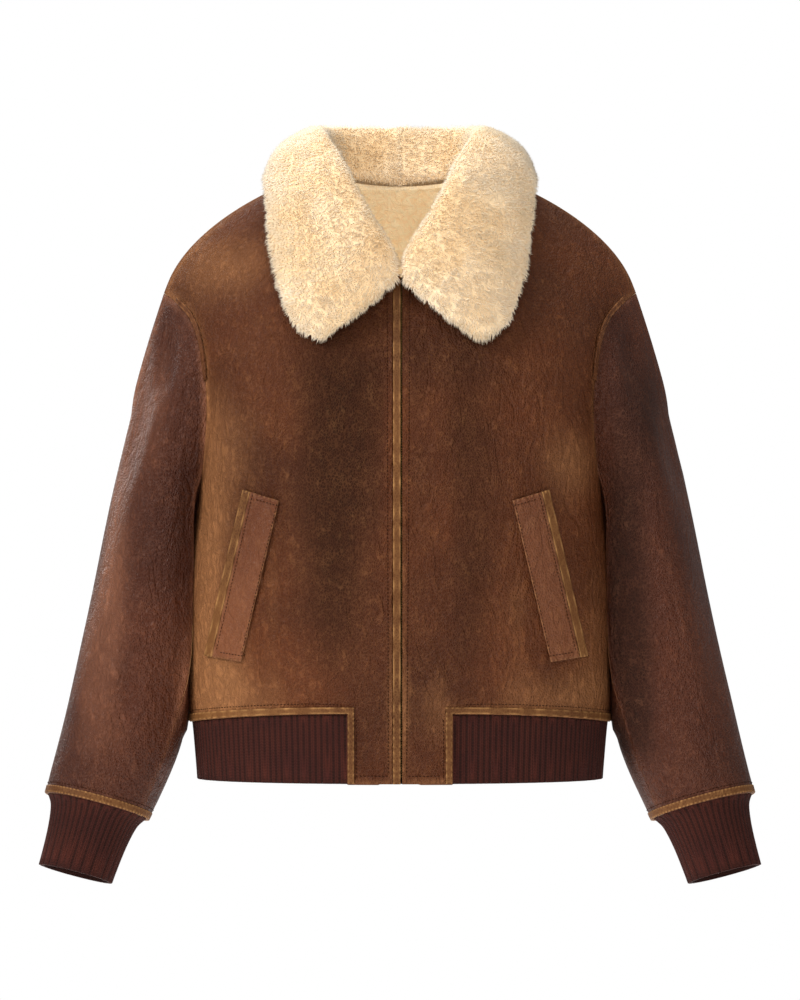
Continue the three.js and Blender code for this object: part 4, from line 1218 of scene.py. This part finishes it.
def fringe_share(place):
    """1 at the lower and outer edge of the collar's fall, and 0 further in"""
    spots = np.array(FALL_EDGE, dtype=float) * MM
    mirrored = spots * np.array([-1, 1, 1])
    far = np.minimum(nearest_on_line(place, spots)[1], nearest_on_line(place, mirrored)[1])
    return np.clip(1 - far / (2.2 * FRINGE_REACH), 0, 1)


# %% Draw the locks as one mesh
LOCK_WIDTH = 0.56 * MM
LOCK_WIDTHS = (0.7, 1.3)
ROOT_TIP = 0.45
LOCK_SIDES = (0, 2 * math.pi / 3, 4 * math.pi / 3)
LOCK_FACES = np.array([(0, 1, 3), (1, 2, 3), (2, 0, 3), (2, 1, 0)])


def lock_mesh(name, root, tip, normal, tone):
    count = len(root)
    across = unit(np.cross(normal, tip - root) + 1e-9)
    other = unit(np.cross(across, tip - root))
    width = draw.uniform(*LOCK_WIDTHS, count)[:, None] * LOCK_WIDTH
    ring = [root + (across * math.cos(turn) + other * math.sin(turn)) * width for turn in LOCK_SIDES]
    points = np.stack([*ring, tip], axis=1).reshape(-1, 3)
    faces = (LOCK_FACES[None] + (np.arange(count) * 4)[:, None, None]).reshape(-1, 3)
    mesh = bpy.data.meshes.new(name)
    mesh.vertices.add(len(points))
    mesh.vertices.foreach_set("co", points.ravel())
    mesh.loops.add(len(faces) * 3)
    mesh.loops.foreach_set("vertex_index", faces.ravel())
    mesh.polygons.add(len(faces))
    mesh.polygons.foreach_set("loop_start", np.arange(len(faces)) * 3)
    mesh.update(calc_edges=True)
    mesh.polygons.foreach_set("use_smooth", [True] * len(faces))
    write_value(mesh, "tip", np.tile([ROOT_TIP, ROOT_TIP, ROOT_TIP, 1.0], count))
    write_value(mesh, "tuft", np.repeat(tone, 4))
    mesh.materials.append(WOOL)
    piece = placed(name, mesh)
    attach(piece, "root")
    return piece


# %% Grow the locks
LOCK_BATCHES = 2
LOCK_RISE = (3.2 * MM, 5.0 * MM)
LOCK_LEAN = (1.6 * MM, 3.6 * MM)
LOCK_STRAY = 0.5 * MM
ROOT_SINK = 0.6 * MM
FRINGE_GROWTH = 0.55
FRINGE_PULL = 0.3
TUFT_SHARE = 0.020
TUFTS_LEAST = 8
TUFT_PULL = 0.14
PULL_SPREAD = (0.5, 1.3)
TONE_OF_TUFT = 0.6
TONE_OF_LOCK = 0.4


def grow_locks(name, place, normal):
    count = len(place)
    fringe = fringe_share(place)
    rise = draw.uniform(*LOCK_RISE, count) * (1 + FRINGE_GROWTH * fringe)
    lean = unit(combed(place, normal)) * (draw.uniform(*LOCK_LEAN, count) * (1 + fringe))[:, None]
    stray = draw.normal(0, LOCK_STRAY, (count, 3)) * (1 + fringe)[:, None]
    tip = place + normal * rise[:, None] + lean + stray
    tufts = max(TUFTS_LEAST, int(count * TUFT_SHARE))
    chosen = draw.choice(count, size=tufts, replace=False)
    tree = KDTree(tufts)
    for k, index in enumerate(chosen):
        tree.insert(place[index], k)
    tree.balance()
    near = np.array([tree.find(p)[1] for p in place])
    pull = ((TUFT_PULL + FRINGE_PULL * fringe) * draw.uniform(*PULL_SPREAD, count))[:, None]
    tip += (tip[chosen][near] - tip) * pull
    tone = draw.random(tufts)[near] * TONE_OF_TUFT + draw.random(count) * TONE_OF_LOCK
    return lock_mesh(name, place - normal * ROOT_SINK, tip, normal, tone)


covers = [*collars.values(), *(panels[name] for name in BODY_PANELS)]
blockers = [joined_tree([piece]) for piece in covers]
locks = {name: [] for name in collars}
for node_name, wool in collars.items():
    place, normal = surface_samples(wool.data, LOCKS_A_SIDE)
    free = open_places(place, normal, blockers)
    place, normal = place[free], normal[free]
    order = np.argsort(place[:, 2])
    for k, part in enumerate(np.array_split(order, LOCK_BATCHES)):
        piece = grow_locks(f"{node_name}_locks_{k + 1}", place[part], normal[part])
        locks[node_name].append(piece)
    print(node_name, "locks:", len(place))

# %% [markdown]
# ## Rows of stitches
# Topstitching holds every strip down. A stitch is a short rod of thread that dips at both ends, and a row
# is many of them laid along a line on the surface. Some lines are given in millimetres and others follow
# the strips, a few millimetres away on the panel. Each stitch is dropped to the nearest place on the hide.

# %% Helpers for stitches
STITCH_PITCH = 3.6 * MM
STITCH_SHORTEST = STITCH_PITCH * 0.4
STITCH_LONGEST = STITCH_PITCH * 2
STITCH_LENGTH = 2.7 * MM
STITCH_RADIUS = 0.42 * MM
STITCH_SIDES = 5
# Rings along a stitch: place in its length, then width and height in radii
STITCH_RINGS = [(-0.5, 0.35, -0.2), (-0.22, 1.0, 0.35), (0.22, 1.0, 0.35), (0.5, 0.35, -0.2)]


def between(first, second, share):
    return [a * (1 - share) + b * share for a, b in zip(first, second)]


def even_line(points, pitch):
    points = np.array(points, dtype=float)
    run = np.linalg.norm(np.diff(points, axis=0), axis=1)
    mark = np.concatenate([[0], np.cumsum(run)])
    places = np.arange(0, mark[-1], pitch)
    return np.stack([np.interp(places, mark, points[:, k]) for k in range(3)], axis=1)


def lay_row(points, tree, spots):
    """Add a stitch for every pitch of the line: where it lies, which way it runs and which way is up"""
    line = even_line(points, STITCH_PITCH)
    for k in range(len(line) - 1):
        hit, normal, _, _ = tree.find_nearest(Vector(line[k]))
        ahead, _, _, _ = tree.find_nearest(Vector(line[k + 1]))
        run = ahead - hit
        if STITCH_SHORTEST <= run.length <= STITCH_LONGEST:
            spots.append((hit, run.normalized(), normal))


def add_stitch(points, faces, centre, run, normal):
    side = run.cross(normal).normalized()
    base = len(points)
    for along, width, height in STITCH_RINGS:
        middle = centre + run * STITCH_LENGTH * along + normal * STITCH_RADIUS * height
        for k in range(STITCH_SIDES):
            turn = 2 * math.pi * k / STITCH_SIDES
            spread = side * math.cos(turn) + normal * math.sin(turn)
            points.append(middle + spread * STITCH_RADIUS * width)
    last = base + (len(STITCH_RINGS) - 1) * STITCH_SIDES
    for ring in range(base, last, STITCH_SIDES):
        for k in range(STITCH_SIDES):
            a = ring + k
            b = ring + (k + 1) % STITCH_SIDES
            faces.append((a, b, b + STITCH_SIDES, a + STITCH_SIDES))
    faces.append(tuple(base + k for k in reversed(range(STITCH_SIDES))))
    faces.append(tuple(last + k for k in range(STITCH_SIDES)))


def stitch_piece(name, spots):
    points, faces = [], []
    for centre, run, normal in spots:
        add_stitch(points, faces, centre, run, normal)
    mesh = bpy.data.meshes.new(name)
    mesh.from_pydata(points, [], faces)
    mesh.polygons.foreach_set("use_smooth", [True] * len(faces))
    mesh.materials.append(THREAD)
    piece = placed(name, mesh)
    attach(piece, "root")
    print(name, len(spots), "stitches")


def coarse_points(node_name):
    work = coarse_copy(node_name)
    points = np.array([v.co for v in work.verts])
    work.free()
    return points


# %% [markdown]
# A welt lies slanted on the front. Its corners are known in millimetres, so a place on it is a share across
# and a share down between them. From in front of the jacket each place is dropped straight back until it
# meets the welt.

# %% Stitch the welts
WELT_CORNERS = {"inner_top": (113.5, -295.5), "outer_top": (149, -284.8),
                "outer_bottom": (188, -448.7), "inner_bottom": (151.3, -453.7)}
WELT_SHIFT = {"left": -4, "right": 4}
WELT_ROWS = [((0.74, 0.02), (0.74, 0.98)), ((0.04, 0.035), (0.74, 0.035)),
             ((0.04, 0.965), (0.74, 0.965)), ((0.05, 0.03), (0.05, 0.97))]
WELT_SAMPLES = 24
FRONT_OF_JACKET = -140


def welt_place(side, across, down):
    top = between(WELT_CORNERS["inner_top"], WELT_CORNERS["outer_top"], across)
    low = between(WELT_CORNERS["inner_bottom"], WELT_CORNERS["outer_bottom"], across)
    x, z = between(top, low, down)
    sign = 1 if side == "left" else -1
    return Vector(((x + WELT_SHIFT[side]) * sign * MM, FRONT_OF_JACKET * MM, z * MM))


def drop_back(point, tree):
    hit, _, _, _ = tree.ray_cast(point, Vector((0, 1, 0)))
    return hit if hit is not None else point


for side in ("left", "right"):
    tree = joined_tree([strips[f"welt_{side}"], strips[f"welt_strip_{side}"]])
    spots = []
    for start, end in WELT_ROWS:
        shares = np.linspace(0, 1, WELT_SAMPLES)
        samples = [drop_back(welt_place(side, *between(start, end, f)), tree) for f in shares]
        lay_row(samples, tree, spots)
    stitch_piece(f"welt_stitches_{side}", spots)

# %% Stitch the front edges and the middle of the hem
FRONT_ROWS = [
    [(9.5, -84), (8.5, -300), (7, -480), (6.5, -566)],
    [(-12.5, -84), (-12, -300), (-11.5, -480), (-11.5, -566)],
    [(9, -565), (42, -565)],
    [(-13, -565), (-42, -565)],
    [(42.5, -565), (42.5, -506)],
    [(-42.5, -565), (-42.5, -506)],
]
FRONT_SAMPLES = 30
fronts = joined_tree([panels["front_left"], panels["front_right"]])
spots = []
for row in FRONT_ROWS:
    samples = []
    for start, end in zip(row, row[1:]):
        for f in np.linspace(0, 1, FRONT_SAMPLES):
            x, z = between(start, end, f)
            samples.append(drop_back(Vector((x * MM, FRONT_OF_JACKET * MM, z * MM)), fronts))
    lay_row(samples, fronts, spots)
stitch_piece("front_stitches", spots)

# %% [markdown]
# Above the hem and round the sleeve ends the row follows the top edge of the tape, a few millimetres up on
# the hide. For the hem that edge is found by looking round in sectors from the middle of the jacket and
# taking the highest point of the tape in each. Round a sleeve the upper points of the tape are sorted by
# their direction from its middle.

# %% Stitch above the hem
HEM_STITCH_RISE = 3.2 * MM
HEM_MIDDLE = (0, 0, -0.5)
HEM_SECTORS = 40
SECTOR_OVERLAP = 1.6
TAPE_FEET = -0.520
TONGUE_HALF = 52 * MM


def top_edge(points, middle, sectors):
    """Highest point of a strip in each direction round its middle"""
    spread = points - np.array(middle)
    angle = np.arctan2(spread[:, 1], spread[:, 0])
    edge = []
    for k in range(sectors):
        centre = -math.pi + 2 * math.pi * (k + 0.5) / sectors
        turn = np.abs((angle - centre + math.pi) % (2 * math.pi) - math.pi)
        near = turn < math.pi / sectors * SECTOR_OVERLAP
        if near.any():
            edge.append(points[near][np.argmax(points[near][:, 2])])
    return edge


hem_tapes = [coarse_points(name) for name in STRIPS if name.startswith("hem_tape")]
tape_points = np.concatenate(hem_tapes)
tape_points = tape_points[tape_points[:, 2] > TAPE_FEET]
edge = top_edge(tape_points, HEM_MIDDLE, HEM_SECTORS)
edge = [p + np.array((0, 0, HEM_STITCH_RISE)) for p in edge if abs(p[0]) > TONGUE_HALF or p[1] > 0]
spots = []
for part in (edge[:HEM_SECTORS // 2], edge[HEM_SECTORS // 2:]):
    lay_row(part, body_tree, spots)
stitch_piece("hem_stitches", spots)

# %% Stitch round the sleeve ends
CUFF_STITCH_RISE = 3.0 * MM
SLEEVE_WAY = {"left": np.array([0.25, -0.16, -0.955]), "right": np.array([-0.25, -0.16, -0.955])}
sleeve_tree = joined_tree([panels[name] for name in SLEEVE_PANELS])
spots = []
for side, axis in SLEEVE_WAY.items():
    tape_points = coarse_points(f"cuff_tape_{side}")
    middle = tape_points.mean(axis=0)
    upper = tape_points[(tape_points - middle) @ axis < 0]
    spread = upper - middle
    order = np.argsort(np.arctan2(spread[:, 1], spread[:, 0]))
    ring = [upper[k] - axis * CUFF_STITCH_RISE for k in order]
    lay_row(ring + ring[:1], sleeve_tree, spots)
stitch_piece("cuff_stitches", spots)

# %% [markdown]
# ## The hidden zip
# Behind the two front edges runs a zip. Only a dark slit of it shows, so the tape stays as it is packed, in
# a dark weave, and a column of small metal teeth sits on it in the slit.

# %% Dress the zip
ZIP_ACROSS = 1.35 * MM
ZIP_BOTTOM = -566 * MM
ZIP_TOP = -84 * MM
TOOTH_PITCH = 2.4 * MM
TOOTH_SIZE = (1.0 * MM, 0.9 * MM, 1.3 * MM)
TOOTH_STANDS = 0.3
for slot in bpy.data.objects["front_zip"].material_slots:
    slot.material = ZIP_TAPE


def zip_teeth():
    work = coarse_copy("front_zip")
    tree = BVHTree.FromBMesh(work)
    work.free()
    made = bmesh.new()
    for z in np.arange(ZIP_BOTTOM, ZIP_TOP, TOOTH_PITCH):
        hit = drop_back(Vector((ZIP_ACROSS, FRONT_OF_JACKET * MM, z)), tree)
        tooth = bmesh.ops.create_cube(made, size=1)["verts"]
        bmesh.ops.scale(made, vec=TOOTH_SIZE, verts=tooth)
        bmesh.ops.translate(made, vec=hit - Vector((0, TOOTH_SIZE[1] * TOOTH_STANDS, 0)), verts=tooth)
    mesh = bpy.data.meshes.new("zip_teeth")
    made.to_mesh(mesh)
    made.free()
    mesh.materials.append(ZIP_METAL)
    piece = placed("zip_teeth", mesh)
    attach(piece, "root")
    return piece


teeth = zip_teeth()
print("zip teeth faces:", len(teeth.data.polygons))

# %% [markdown]
# ## Half the surface of each strip
# Hide, knit and fur are sheets that were cut flat and sewn. For each strip, half of its surface is printed.
# A knit is narrower on the roll than it is long.

for node_name, strip in strips.items():
    print(node_name, "half surface %.5f" % half_surface(strip))
